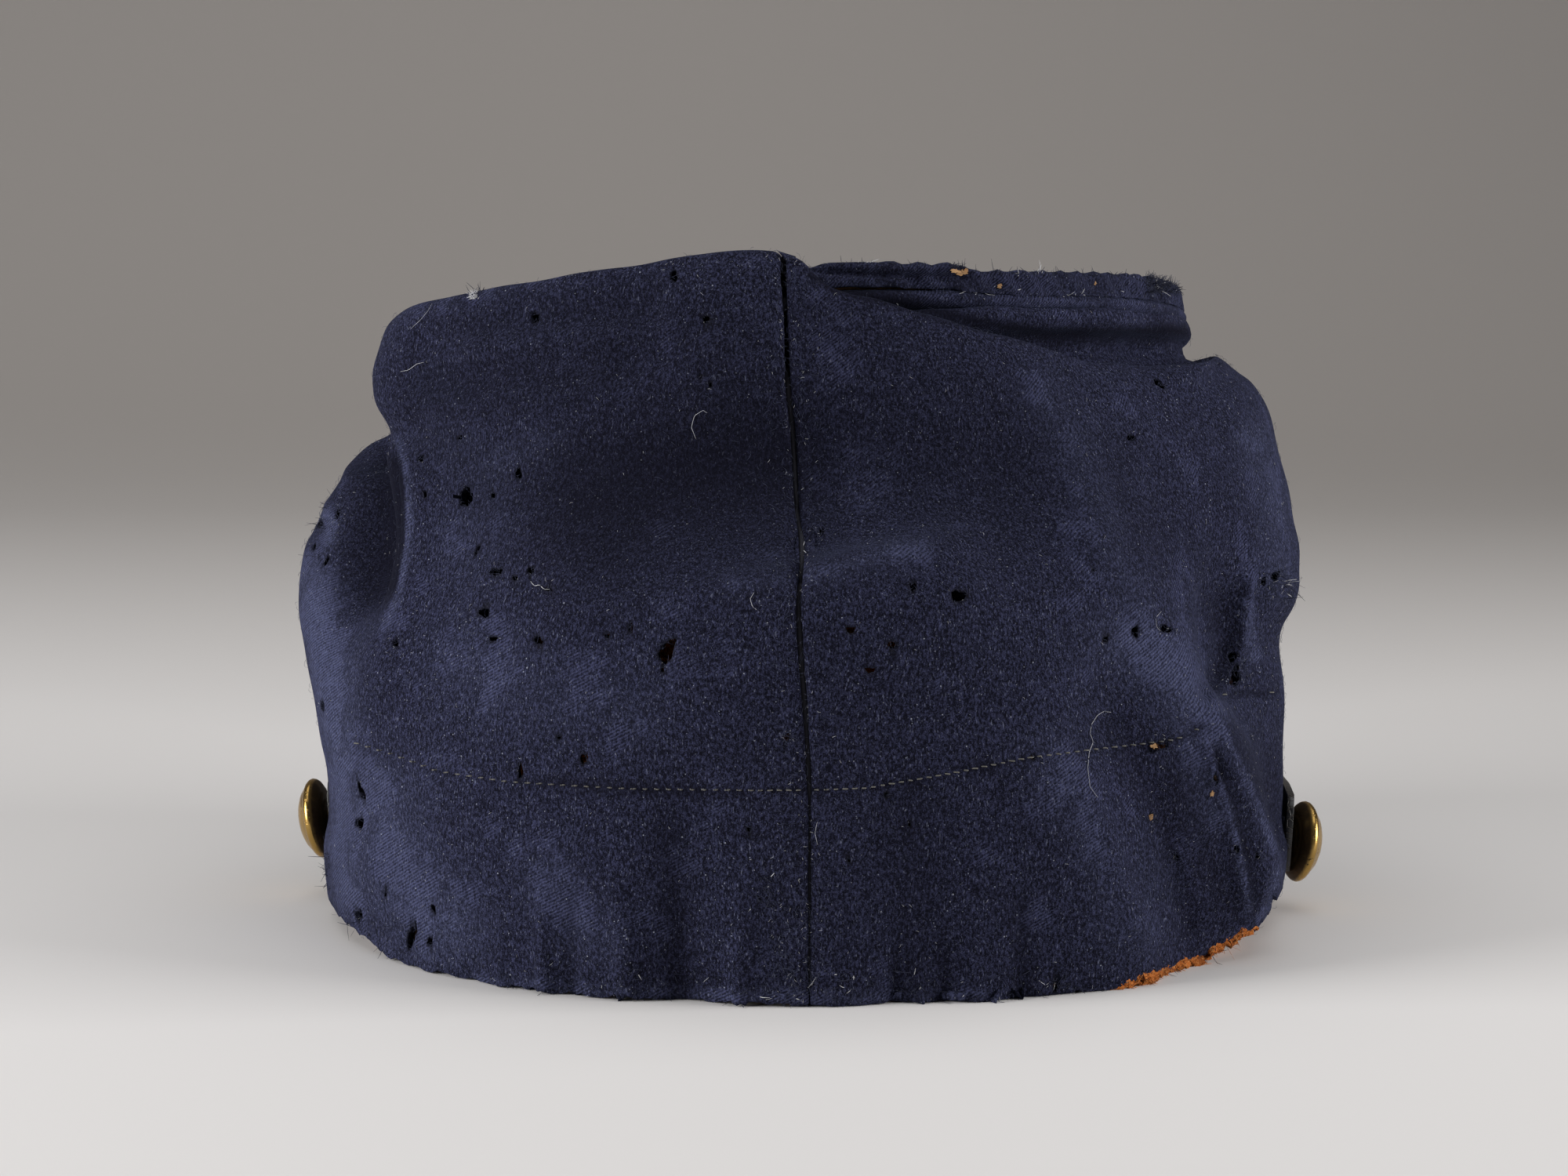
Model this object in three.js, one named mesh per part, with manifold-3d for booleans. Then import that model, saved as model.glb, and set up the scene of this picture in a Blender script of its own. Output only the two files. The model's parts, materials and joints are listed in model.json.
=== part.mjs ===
// A soldier's forage cap of dark blue wool, slumped with age and resting on its hem and peak.
// Millimetres, +Z up. The back of the cap faces -Y, the peak points to +Y and its right is +X.
// "Around" is an angle in degrees from the centre back seam, positive towards +X. A "level"
// counts the sections of the body, from 0 at the hem to the last one at the disc's seam.
import * as THREE from "three";
import { mergeVertices } from "three/addons/utils/BufferGeometryUtils.js";
import Module from "manifold-3d";

// Head opening and band
const HEAD_WIDTH = 181.5;
const HEAD_LENGTH = 179;
const HEAD_SQUARENESS = 2.08;
const FRONT_LIFT = 10;
const FLAT_SHARE = 0.13;
const BAND_RISE = 38.5;
const BAND_LEAN = 0.6;
const BAND_BULGE = 0.9;

// Crown disc: where its seam sits, how it leans, and what it is made of
const DISC_DIAMETER = 154;
const DISC_RISE = 103;
const DISC_FORWARD = 22;
const DISC_SIDEWAYS = -4.5;
const DISC_TILT = 11;
const DISC_ROLL = 4.9;
const DISC_CLOTH = 1.2;
const SKIRT_HEIGHT = 4.2;
const RIM_ROUND = 1.7;
const BOARD_THICKNESS = 2.2;
const WELT_THICKNESS = 3.6;
const WELT_DEPTH = 5.5;

// Body cloth
const CLOTH = 2;
const SLACK = 20;
const FOLD_DEPTH = 10;
const FOLD_REACH = 20;
const ROLL_THICKNESS = 3.8;
const SEAM_GAP = 0.3;
const SEAM_DIP = 0.9;
const SEAM_SHOULDER = 1.4;

// Leather
const SWEATBAND_THICKNESS = 1.5;
const SWEATBAND_HEIGHT = 34;
const SWEATBAND_DROOP = 2.2;
const SWEATBAND_DROOP_AROUND = 46;
const SWEATBAND_DROOP_SPREAD = 24;
const PEAK_REACH = 46;
const PEAK_HALF_ANGLE = 60;
const PEAK_THICKNESS = 2;
const PEAK_CORNER_POWER = 0.8;
const PEAK_FALL_POWER = 1.3;
const PEAK_STRAIGHTNESS = 0.75;
const STRAP_WIDTH = 15;
const STRAP_THICKNESS = 1.3;
const STRAP_RISE = 10.5;
const STRAP_TAIL = 5;
const STRAP_END_ROUND = 3.75;
const STRAP_END_NARROWING = 0.4;

// Brass
const BUTTON_LEFT_AROUND = -98;
const BUTTON_RIGHT_AROUND = 89;
const BUTTON_RISE = 8.2;
const BUTTON_DIAMETER = 15.6;
const BUTTON_RIM = 1.3;
const BUTTON_DOME = 2.7;
const BUTTON_DROOP = 10;
const SHANK_DIAMETER = 3;
const SLIDE_AROUND = 166;
const SLIDE_LENGTH = 9;
const SLIDE_WALL = 1.2;

// Clearances
const PIECE_GAP = 0.3;
const SHANK_CLEARANCE = 0.4;
const SLIDE_CLEARANCE = 0.5;
const SLIDE_RELIEF = 21.6;

// Facets
const BACK_STEPS = 54;
const FRONT_STEPS = 16;
const RIM_STEPS = 40;
const WELT_SIDES = 8;
const PEAK_STEPS = 18;
const STRAP_STEPS = 30;
const BUTTON_STEPS = 16;

// How far apart the places are from which the cloth's normal is taken
const NEAR_AROUND = 1;
const NEAR_LEVEL = 0.12;

const rad = THREE.MathUtils.degToRad;
const { clamp, lerp } = THREE.MathUtils;
const up = new THREE.Vector3(0, 0, 1);

// The sides of the cap at which the tables of sections give their values.
const SIDES = [
  { name: "left", around: -92 },
  { name: "backLeft", around: -60 },
  { name: "back", around: 0 },
  { name: "backRight", around: 50 },
  { name: "right", around: 92 },
  { name: "front", around: 180 },
];

// The sections of the body between the band and the disc, bottom to top. "at" is the share of
// the way from the band's top to the disc's roll. Out and rise are how far the cloth stands
// outside and above that straight way, as shares of SLACK.
const SECTIONS = [
  { name: "lower", at: 0.2,
    out: { left: 0.35, backLeft: 0.09, back: 0.44, backRight: 0.03, right: 0.15, front: 0.07 },
    rise: { left: 0.16, backLeft: 0.19, back: 0.04, backRight: -0.05, right: -0.11, front: -0.02 } },
  { name: "ridge", at: 0.45,
    out: { left: 0.63, backLeft: 0.01, back: 0.89, backRight: 0.26, right: 0.62, front: 0.18 },
    rise: { left: 0.05, backLeft: 0.34, back: 0.06, backRight: -0.11, right: -0.27, front: -0.16 } },
  { name: "waist", at: 0.6,
    out: { left: 0.6, backLeft: 0.2, back: 0.38, backRight: 0.26, right: 0.74, front: 0.24 },
    rise: { left: 0.16, backLeft: 0.76, back: 0.37, backRight: 0.11, right: 0.04, front: -0.11 } },
  { name: "brow", at: 0.8,
    out: { left: 0.42, backLeft: 0.55, back: 0.58, backRight: 0.34, right: 0.71, front: 0.18 },
    rise: { left: -0.02, backLeft: 0.7, back: 0.54, backRight: 0.05, right: 0.15, front: -0.21 } },
  { name: "crest", at: 0.95,
    out: { left: 0.2, backLeft: 0.4, back: 0.4, backRight: 0.27, right: 0.4, front: 0.08 },
    rise: { left: -0.14, backLeft: 0.84, back: 1.02, backRight: 0.02, right: 0.16, front: -0.26 } },
  { name: "return", at: 0.97,
    out: { left: 0.13, backLeft: 0.28, back: 0.22, backRight: 0.13, right: 0.26, front: 0.05 },
    rise: { left: -0.06, backLeft: 0.42, back: 0.45, backRight: -0.19, right: 0.04, front: -0.19 } },
  { name: "tuck", at: 0.98,
    out: { left: 0.06, backLeft: 0.14, back: 0.08, backRight: 0.01, right: 0.11, front: 0 },
    rise: { left: -0.03, backLeft: -0.04, back: -0.05, backRight: -0.27, right: -0.05, front: -0.14 } },
];

// The body's top edge, turned into a roll under the disc. Inset and drop are shares of the
// roll's thickness, inwards from the disc's rim and down from its seam.
const ROLL_SECTIONS = [
  { name: "roll_under", inset: 0.75, drop: 1.05 },
  { name: "roll_out", inset: -0.05, drop: 0.5 },
  { name: "seam_edge", inset: 0.75, drop: 0.0 },
];

// Rows of facets in each span between two sections, hem first.
const LEVEL_STEPS = [2, 2, 2, 2, 3, 3, 3, 2, 2, 1, 2, 2];

// Folds and dents, each along a line from (around1, level1) to (around2, level2). Depths are
// shares of FOLD_DEPTH, outwards positive, and widths are shares of FOLD_REACH.
const FOLDS = [
  { name: "left ridge", around1: -57, level1: 5.0, around2: -57, level2: 3.4,
    depth1: 0.3, depth2: 0.2, width1: 0.5, width2: 0.5 },
  { name: "left crease", around1: -75, level1: 6.4, around2: -67, level2: 3.0,
    depth1: -1.5, depth2: -0.2, width1: 0.5, width2: 0.45 },
  { name: "hollow, left part", around1: -18, level1: 4.2, around2: 0, level2: 5.2,
    depth1: -0.35, depth2: -0.5, width1: 0.55, width2: 0.55 },
  { name: "hollow, right part", around1: 6, level1: 5.2, around2: 28, level2: 5.5,
    depth1: -0.4, depth2: -0.3, width1: 0.55, width2: 0.5 },
  { name: "ridge under the hollow", around1: -24, level1: 3.7, around2: 14, level2: 4.3,
    depth1: 0.2, depth2: 0.3, width1: 0.4, width2: 0.4 },
  { name: "long right ridge", around1: 31, level1: 5.7, around2: 62, level2: 0.4,
    depth1: 0.2, depth2: 0.6, width1: 0.55, width2: 0.45 },
  { name: "right pit", around1: 62, level1: 3.3, around2: 78, level2: 1.4,
    depth1: -0.75, depth2: -0.35, width1: 0.45, width2: 0.45 },
  { name: "band valley", around1: 37, level1: 2.7, around2: 51, level2: 0.3,
    depth1: -0.35, depth2: -0.3, width1: 0.4, width2: 0.5 },
  { name: "band ridge", around1: 26, level1: 2.6, around2: 38, level2: 0.4,
    depth1: 0.15, depth2: 0.3, width1: 0.5, width2: 0.45 },
  { name: "hem pucker, left", around1: -14, level1: 0, around2: -14, level2: 1.8,
    depth1: -0.35, depth2: -0.1, width1: 0.4, width2: 0.4 },
  { name: "hem pucker, right", around1: 12, level1: 0, around2: 10, level2: 1.8,
    depth1: -0.3, depth2: -0.12, width1: 0.45, width2: 0.5 },
  { name: "top left fold", around1: -50, level1: 5.95, around2: -18, level2: 6.1,
    depth1: -0.25, depth2: -0.2, width1: 0.35, width2: 0.35 },
];

// Where the peak has its rows of facets, as shares of the way from the hem to its rim.
const PEAK_ROWS = [0, 0.3, 0.65, 1];

// The button's outline from its back to its top. Out is a share of its radius, and rim and dome
// are the shares of those two heights that lie below.
const BUTTON_SECTIONS = [
  { name: "back", out: 0.9, rim: 0, dome: 0 },
  { name: "rim_under", out: 1, rim: 0.4, dome: 0 },
  { name: "rim_edge", out: 1, rim: 1, dome: 0 },
  { name: "dome_foot", out: 0.9, rim: 1, dome: 0.31 },
  { name: "dome_side", out: 0.77, rim: 1, dome: 0.59 },
  { name: "dome_shoulder", out: 0.56, rim: 1, dome: 0.81 },
  { name: "dome_crown", out: 0.29, rim: 1, dome: 0.95 },
  { name: "dome_top", out: 0, rim: 1, dome: 1 },
];

// An angle brought between -180 and 180 degrees.
function wrapped(around) {
  return around - 360 * Math.round(around / 360);
}

// A value given at the sides of the cap, carried smoothly round it.
function aroundBlend(around, values) {
  const n = SIDES.length;
  const a = wrapped(around) < SIDES[0].around ? wrapped(around) + 360 : wrapped(around);
  const station = (i) => SIDES[(i + n) % n].around + 360 * Math.floor(i / n);
  const value = (i) => values[SIDES[(i + n) % n].name];
  const slope = (i) => (value(i + 1) - value(i - 1)) / (station(i + 1) - station(i - 1));
  let i = 0;
  while (i < n - 1 && station(i + 1) <= a) i++;
  const span = station(i + 1) - station(i);
  const t = (a - station(i)) / span;
  return (2 * t ** 3 - 3 * t ** 2 + 1) * value(i) + (t ** 3 - 2 * t ** 2 + t) * span * slope(i)
    + (3 * t ** 2 - 2 * t ** 3) * value(i + 1) + (t ** 3 - t ** 2) * span * slope(i + 1);
}

function outward(around) {
  return new THREE.Vector3(Math.sin(rad(around)), -Math.cos(rad(around)), 0);
}

// The hem: flat on the table at the back and lifted towards the front, where the peak holds it.
function hemPoint(around) {
  const s = Math.abs(Math.sin(rad(around))) / (HEAD_WIDTH / 2);
  const c = Math.abs(Math.cos(rad(around))) / (HEAD_LENGTH / 2);
  const reach = (s ** HEAD_SQUARENESS + c ** HEAD_SQUARENESS) ** (-1 / HEAD_SQUARENESS);
  const p = outward(around).multiplyScalar(reach);
  const along = (p.y + HEAD_LENGTH / 2) / HEAD_LENGTH;
  p.z = FRONT_LIFT * Math.max(0, (along - FLAT_SHARE / 2) / (1 - FLAT_SHARE / 2));
  return p;
}

// The frame of the disc's seam: its plane leans to the front and to the left.
const discFrame = new THREE.Matrix4()
  .makeRotationFromEuler(new THREE.Euler(-rad(DISC_TILT), -rad(DISC_ROLL), 0))
  .setPosition(DISC_SIDEWAYS, DISC_FORWARD, DISC_RISE);

function discPoint(around, inset, drop) {
  const p = outward(around).multiplyScalar(DISC_DIAMETER / 2 - inset * ROLL_THICKNESS);
  p.z = -drop * ROLL_THICKNESS;
  return p.applyMatrix4(discFrame);
}

// The curve that the body follows at one angle, through its sections.
function sectionCurve(around) {
  const hem = hemPoint(around);
  const out = outward(around);
  const bandTop = hem.clone().addScaledVector(out, BAND_LEAN).addScaledVector(up, BAND_RISE);
  const bandMiddle = hem.clone().lerp(bandTop, 0.5).addScaledVector(out, BAND_BULGE);
  const points = [hem, bandMiddle, bandTop];
  const roll = discPoint(around, ROLL_SECTIONS[0].inset, ROLL_SECTIONS[0].drop);
  for (const s of SECTIONS) {
    const p = bandTop.clone().lerp(roll, s.at);
    p.addScaledVector(out, SLACK * aroundBlend(around, s.out));
    p.addScaledVector(up, SLACK * aroundBlend(around, s.rise));
    points.push(p);
  }
  for (const s of ROLL_SECTIONS) points.push(discPoint(around, s.inset, s.drop));
  return new THREE.CatmullRomCurve3(points, false, "centripetal");
}

const TOP_LEVEL = SECTIONS.length + ROLL_SECTIONS.length + 2;
const BAND_LEVEL = 2;
const MM_PER_DEGREE = rad(HEAD_WIDTH / 2);
const MM_PER_LEVEL = DISC_RISE / (BAND_LEVEL + SECTIONS.length);

const curves = new Map();
function basePoint(around, level) {
  if (!curves.has(around)) curves.set(around, sectionCurve(around));
  return curves.get(around).getPoint(clamp(level / TOP_LEVEL, 0, 1));
}

// How far the folds move the cloth outwards at one place.
function foldDepth(around, level) {
  let total = 0;
  for (const f of FOLDS) {
    const dx = (f.around2 - f.around1) * MM_PER_DEGREE;
    const dy = (f.level2 - f.level1) * MM_PER_LEVEL;
    const px = wrapped(around - f.around1) * MM_PER_DEGREE;
    const py = (level - f.level1) * MM_PER_LEVEL;
    const along = clamp((px * dx + py * dy) / (dx * dx + dy * dy), 0, 1);
    const away = Math.hypot(px - along * dx, py - along * dy);
    const width = FOLD_REACH * lerp(f.width1, f.width2, along);
    const depth = FOLD_DEPTH * lerp(f.depth1, f.depth2, along);
    total += depth * Math.exp(-((away / width) ** 2));
  }
  return total;
}

function normalOf(surface, around, level) {
  const low = Math.max(level - NEAR_LEVEL, 0);
  const high = Math.min(level + NEAR_LEVEL, TOP_LEVEL);
  const across = surface(around + NEAR_AROUND, level).sub(surface(around - NEAR_AROUND, level));
  const along = surface(around, high).sub(surface(around, low));
  const n = across.cross(along);
  if (level === 0) n.z = 0;
  return n.normalize();
}

// The outer face of the body cloth, folds included.
const faces = new Map();
function clothPoint(around, level) {
  const key = around + "," + level;
  if (!faces.has(key)) {
    const p = basePoint(around, level);
    const depth = foldDepth(around, level);
    faces.set(key, p.addScaledVector(normalOf(basePoint, around, level), depth));
  }
  return faces.get(key).clone();
}

// A place at some height over the cloth's outer face, or under it where that is negative.
function overCloth(around, level, height) {
  return clothPoint(around, level).addScaledVector(normalOf(clothPoint, around, level), height);
}

// A shell between two grids of points, each a list of rows from bottom to top.
function shellGeometry(outer, inner, closed) {
  const rows = outer.length;
  const columns = outer[0].length;
  const positions = [...outer, ...inner].flat().flatMap((p) => p.toArray());
  const faceList = [];
  const out = (r, c) => r * columns + (c % columns);
  const inn = (r, c) => rows * columns + out(r, c);
  const quad = (a, b, c, d) => faceList.push(a, b, c, a, c, d);
  const spans = closed ? columns : columns - 1;
  for (let c = 0; c < spans; c++) {
    for (let r = 0; r < rows - 1; r++) {
      quad(out(r, c), out(r, c + 1), out(r + 1, c + 1), out(r + 1, c));
      quad(inn(r, c), inn(r + 1, c), inn(r + 1, c + 1), inn(r, c + 1));
    }
    quad(out(0, c + 1), out(0, c), inn(0, c), inn(0, c + 1));
    quad(out(rows - 1, c), out(rows - 1, c + 1), inn(rows - 1, c + 1), inn(rows - 1, c));
  }
  if (!closed) {
    const last = columns - 1;
    for (let r = 0; r < rows - 1; r++) {
      quad(out(r, 0), out(r + 1, 0), inn(r + 1, 0), inn(r, 0));
      quad(out(r + 1, last), out(r, last), inn(r, last), inn(r + 1, last));
    }
  }
  return new THREE.BufferGeometry()
    .setAttribute("position", new THREE.Float32BufferAttribute(positions, 3))
    .setIndex(faceList);
}

// The columns of facets of one side of the body, from the back seam to the front seam.
function sideAngles() {
  const seam = SEAM_GAP / 2 / MM_PER_DEGREE;
  const shoulder = seam + SEAM_SHOULDER / MM_PER_DEGREE;
  const angles = [seam, shoulder];
  for (let i = 1; i <= BACK_STEPS / 2; i++) {
    angles.push(lerp(shoulder, 90, i / (BACK_STEPS / 2)));
  }
  for (let i = 1; i <= FRONT_STEPS / 2; i++) {
    angles.push(lerp(90, 180 - shoulder, i / (FRONT_STEPS / 2)));
  }
  angles.push(180 - seam);
  return angles;
}

// A place on a panel's edge. Both panels use the seam's own normal, so that its gap is even.
function seamPoint(around, level, height) {
  const seam = Math.abs(around) < 90 ? 0 : 180;
  return clothPoint(around, level).addScaledVector(normalOf(clothPoint, seam, level), height);
}

// One side of the body, whose cloth dips at the seams.
function panelGeometry(side) {
  const angles = sideAngles().map((a) => side * a);
  if (side < 0) angles.reverse();
  const ends = [angles[0], angles.at(-1)];
  const levels = [0];
  LEVEL_STEPS.forEach((steps, span) => {
    for (let i = 1; i <= steps; i++) levels.push(span + i / steps);
  });
  const grid = (height, dip) => levels.map((level) => angles.map((a) =>
    ends.includes(a) ? seamPoint(a, level, height - dip) : overCloth(a, level, height)));
  return shellGeometry(grid(0, SEAM_DIP), grid(-CLOTH, 0), false);
}

// A turned piece whose profile of [radius, height] pairs starts and ends on the axis.
function turnedGeometry(profile, steps) {
  return new THREE.LatheGeometry(profile.map(([r, h]) => new THREE.Vector2(r, h)), steps)
    .rotateX(Math.PI / 2);
}

const discRadius = DISC_DIAMETER / 2;
const skirtBottom = PIECE_GAP + WELT_THICKNESS + PIECE_GAP;
const discTop = skirtBottom + SKIRT_HEIGHT;
const boardTop = discTop - DISC_CLOTH - PIECE_GAP;

// The cover of the disc, a shallow pan of cloth with a rounded rim.
function discCover() {
  const inside = discRadius - DISC_CLOTH;
  return turnedGeometry([
    [0, discTop - DISC_CLOTH],
    [inside - RIM_ROUND, discTop - DISC_CLOTH],
    [inside, discTop - DISC_CLOTH - RIM_ROUND],
    [inside, skirtBottom],
    [discRadius, skirtBottom],
    ...[0, 45, 90].map((turn) => [
      discRadius - RIM_ROUND * (1 - Math.cos(rad(turn))),
      discTop - RIM_ROUND * (1 - Math.sin(rad(turn))),
    ]),
    [0, discTop],
  ], RIM_STEPS);
}

function discBoard() {
  const radius = discRadius - DISC_CLOTH - PIECE_GAP - RIM_ROUND;
  return turnedGeometry([
    [0, boardTop - BOARD_THICKNESS],
    [radius, boardTop - BOARD_THICKNESS],
    [radius, boardTop],
    [0, boardTop],
  ], RIM_STEPS);
}

// The corded welt between the disc and the body.
function discWelt() {
  const middle = discRadius + DISC_CLOTH / 2 - WELT_DEPTH / 2;
  const level = PIECE_GAP + WELT_THICKNESS / 2;
  const profile = [];
  for (let i = 0; i <= WELT_SIDES; i++) {
    const turn = rad(360 * (i + 0.5) / WELT_SIDES);
    profile.push([
      middle + Math.cos(turn) * WELT_DEPTH / 2,
      level + Math.sin(turn) * WELT_THICKNESS / 2,
    ]);
  }
  return turnedGeometry(profile, RIM_STEPS);
}

// The sweatband stands inside the band, clear of its deepest folds, and droops below the hem
// at one place.
function sweatband() {
  const right = sideAngles().slice(1, -1);
  const angles = [...right.map((a) => -a).reverse(), ...right];
  const bandLevels = [0, 0.25, 0.5, 0.75, 1].map((share) => share * BAND_LEVEL);
  const grid = (thickness) => [0, 1].map((share) => angles.map((a) => {
    const level = share * SWEATBAND_HEIGHT * BAND_LEVEL / BAND_RISE;
    const pressedIn = Math.min(0, ...bandLevels.map((l) => foldDepth(a, l)));
    const spread = (a - SWEATBAND_DROOP_AROUND) / SWEATBAND_DROOP_SPREAD;
    const droop = SWEATBAND_DROOP * Math.exp(-(spread ** 2)) * (1 - share);
    const p = basePoint(a, level)
      .addScaledVector(outward(a), pressedIn - CLOTH - PIECE_GAP - thickness);
    p.z = Math.max(p.z - droop, PIECE_GAP);
    return p;
  }));
  return shellGeometry(grid(0), grid(SWEATBAND_THICKNESS), true);
}

// The peak, a crescent of leather under the front hem whose rim comes down to the table.
function peak() {
  const columns = Array.from({ length: PEAK_STEPS + 1 }, (_, i) => i / PEAK_STEPS * 2 - 1);
  const grid = (height) => PEAK_ROWS.map((share) => columns.map((c) => {
    const around = 180 - c * PEAK_HALF_ANGLE;
    const root = overCloth(around, 0, -CLOTH / 2);
    const reach = Math.max(Math.cos(rad(90 * c)), 0) ** PEAK_CORNER_POWER;
    const low = root.z - PIECE_GAP - PEAK_THICKNESS;
    const fall = low * reach * share ** PEAK_FALL_POWER;
    const out = outward(around).lerp(new THREE.Vector3(0, 1, 0), PEAK_STRAIGHTNESS);
    const p = root.addScaledVector(out, share * (CLOTH + PEAK_REACH * reach));
    p.z = low - fall + height;
    return p;
  }));
  return shellGeometry(grid(PEAK_THICKNESS), grid(0), false);
}

// Where the chin strap stands off the cloth, to leave room for the slide behind it.
function strapHeight(around) {
  const away = wrapped(around - SLIDE_AROUND) * MM_PER_DEGREE;
  const room = SLIDE_CLEARANCE + SLIDE_WALL;
  return PIECE_GAP + room * Math.exp(-((away / SLIDE_RELIEF) ** 4));
}

// The chin strap, from button to button round the front of the band.
function chinStrap() {
  const tail = STRAP_TAIL / MM_PER_DEGREE;
  const start = BUTTON_RIGHT_AROUND - tail;
  const end = 360 + BUTTON_LEFT_AROUND + tail;
  const roundEnd = STRAP_END_ROUND / MM_PER_DEGREE;
  const angles = [start, start + roundEnd * 0.4, start + roundEnd];
  for (let i = 1; i < STRAP_STEPS; i++) {
    angles.push(lerp(start + roundEnd, end - roundEnd, i / STRAP_STEPS));
  }
  angles.push(end - roundEnd, end - roundEnd * 0.4, end);
  const levelPerMm = BAND_LEVEL / BAND_RISE;
  const grid = (thickness) => [-1, 0, 1].map((edge) => angles.map((a) => {
    const fromEnd = Math.min(a - start, end - a, roundEnd) / roundEnd;
    const narrowing = STRAP_END_NARROWING * (1 - Math.sqrt(1 - (1 - fromEnd) ** 2));
    const half = STRAP_WIDTH / 2 * (1 - narrowing);
    const level = (STRAP_RISE + edge * half) * levelPerMm;
    return overCloth(a, level, strapHeight(a) + thickness);
  }));
  return shellGeometry(grid(STRAP_THICKNESS), grid(0), false);
}

// A frame on the cloth at one place: its z axis is the cloth's outward normal.
function clothFrame(around, rise, droop) {
  const level = rise * BAND_LEVEL / BAND_RISE;
  const z = normalOf(clothPoint, around, level);
  const x = new THREE.Vector3().crossVectors(up, z).normalize();
  z.applyAxisAngle(x, rad(droop));
  const y = new THREE.Vector3().crossVectors(z, x);
  return new THREE.Matrix4().makeBasis(x, y, z).setPosition(clothPoint(around, level));
}

// How far a button's back stands over the cloth, clear of the strap although it droops.
const buttonStand = PIECE_GAP + STRAP_THICKNESS + PIECE_GAP
  + (BUTTON_DIAMETER / 2) * Math.sin(rad(BUTTON_DROOP));

function button(around) {
  const radius = BUTTON_DIAMETER / 2;
  const shank = SHANK_DIAMETER / 2;
  const shankEnd = PIECE_GAP + shank * Math.sin(rad(BUTTON_DROOP));
  const profile = [
    [0, shankEnd],
    [shank, shankEnd],
    [shank, buttonStand],
    ...BUTTON_SECTIONS.map((s) => [
      s.out * radius,
      buttonStand + s.rim * BUTTON_RIM + s.dome * BUTTON_DOME,
    ]),
  ];
  return turnedGeometry(profile, BUTTON_STEPS)
    .applyMatrix4(clothFrame(around, BUTTON_RISE, BUTTON_DROOP));
}

// The slide, a plain brass loop that the strap runs through.
function strapSlide() {
  const insideWidth = STRAP_WIDTH + 2 * SLIDE_CLEARANCE;
  const insideDepth = STRAP_THICKNESS + 2 * SLIDE_CLEARANCE;
  const rectangle = (path, w, h) => path
    .moveTo(-w / 2, -h / 2).lineTo(w / 2, -h / 2).lineTo(w / 2, h / 2).lineTo(-w / 2, h / 2);
  const shape = rectangle(
    new THREE.Shape(), insideDepth + 2 * SLIDE_WALL, insideWidth + 2 * SLIDE_WALL);
  shape.holes.push(rectangle(new THREE.Path(), insideDepth, insideWidth));
  const height = strapHeight(SLIDE_AROUND) + STRAP_THICKNESS / 2;
  return new THREE.ExtrudeGeometry(shape, { depth: SLIDE_LENGTH, bevelEnabled: false })
    .translate(0, 0, -SLIDE_LENGTH / 2)
    .rotateY(Math.PI / 2)
    .translate(0, 0, height)
    .applyMatrix4(clothFrame(SLIDE_AROUND, STRAP_RISE, 0));
}

const wasm = await Module();
wasm.setup();

function toSolid(geometry) {
  const bare = geometry.clone();
  bare.deleteAttribute("normal");
  bare.deleteAttribute("uv");
  const merged = mergeVertices(bare, 1e-4);
  return new wasm.Manifold(new wasm.Mesh({
    numProp: 3,
    vertProperties: merged.attributes.position.array,
    triVerts: new Uint32Array(merged.index.array),
  }));
}

function toGeometry(solid) {
  const mesh = solid.getMesh();
  return new THREE.BufferGeometry()
    .setAttribute("position", new THREE.BufferAttribute(mesh.vertProperties, 3))
    .setIndex(new THREE.BufferAttribute(mesh.triVerts, 1));
}

// The strap with a hole at each end for the shank of its button.
function piercedStrap() {
  let solid = toSolid(chinStrap());
  for (const around of [BUTTON_LEFT_AROUND, BUTTON_RIGHT_AROUND]) {
    const hole = new THREE.CylinderGeometry(
      SHANK_DIAMETER / 2 + SHANK_CLEARANCE, SHANK_DIAMETER / 2 + SHANK_CLEARANCE,
      4 * buttonStand, BUTTON_STEPS / 2)
      .rotateX(Math.PI / 2)
      .applyMatrix4(clothFrame(around, BUTTON_RISE, BUTTON_DROOP));
    solid = solid.subtract(toSolid(hole));
  }
  return toGeometry(solid);
}

function piece(name, geometry, color, roughness, metalness) {
  const material = new THREE.MeshStandardMaterial({ color, roughness, metalness });
  const mesh = new THREE.Mesh(geometry, material);
  mesh.name = name;
  return mesh;
}

const NAVY = 0x1b2340;
const BLACK = 0x17171a;
const RUST = 0x9a4f22;
const TAN = 0xa4794f;
const BRASS = 0x8f7335;

const disc = new THREE.Group();
disc.applyMatrix4(discFrame);
disc.add(
  piece("crown_disc", discCover(), NAVY, 0.95, 0),
  piece("disc_board", discBoard(), TAN, 0.9, 0),
  piece("disc_welt", discWelt(), NAVY, 0.9, 0),
);

const cap = new THREE.Group();
cap.add(
  piece("left_panel", panelGeometry(-1), NAVY, 0.95, 0),
  piece("right_panel", panelGeometry(1), NAVY, 0.95, 0),
  disc,
  piece("sweatband", sweatband(), RUST, 0.85, 0),
  piece("peak", peak(), BLACK, 0.4, 0),
  piece("chin_strap", piercedStrap(), BLACK, 0.5, 0),
  piece("strap_slide", strapSlide(), BRASS, 0.4, 1),
  piece("button_left", button(BUTTON_LEFT_AROUND), BRASS, 0.4, 1),
  piece("button_right", button(BUTTON_RIGHT_AROUND), BRASS, 0.4, 1),
);

// The middle of the cap's footprint is the origin, on the surface that it rests on.
const box = new THREE.Box3().setFromObject(cap);
const middle = box.getCenter(new THREE.Vector3());
cap.position.set(-middle.x, -middle.y, -box.min.z);

export default cap;
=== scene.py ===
"""Dresses the forage cap: worn wool, torn disc edge, leather and brass, on a pale table."""

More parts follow.
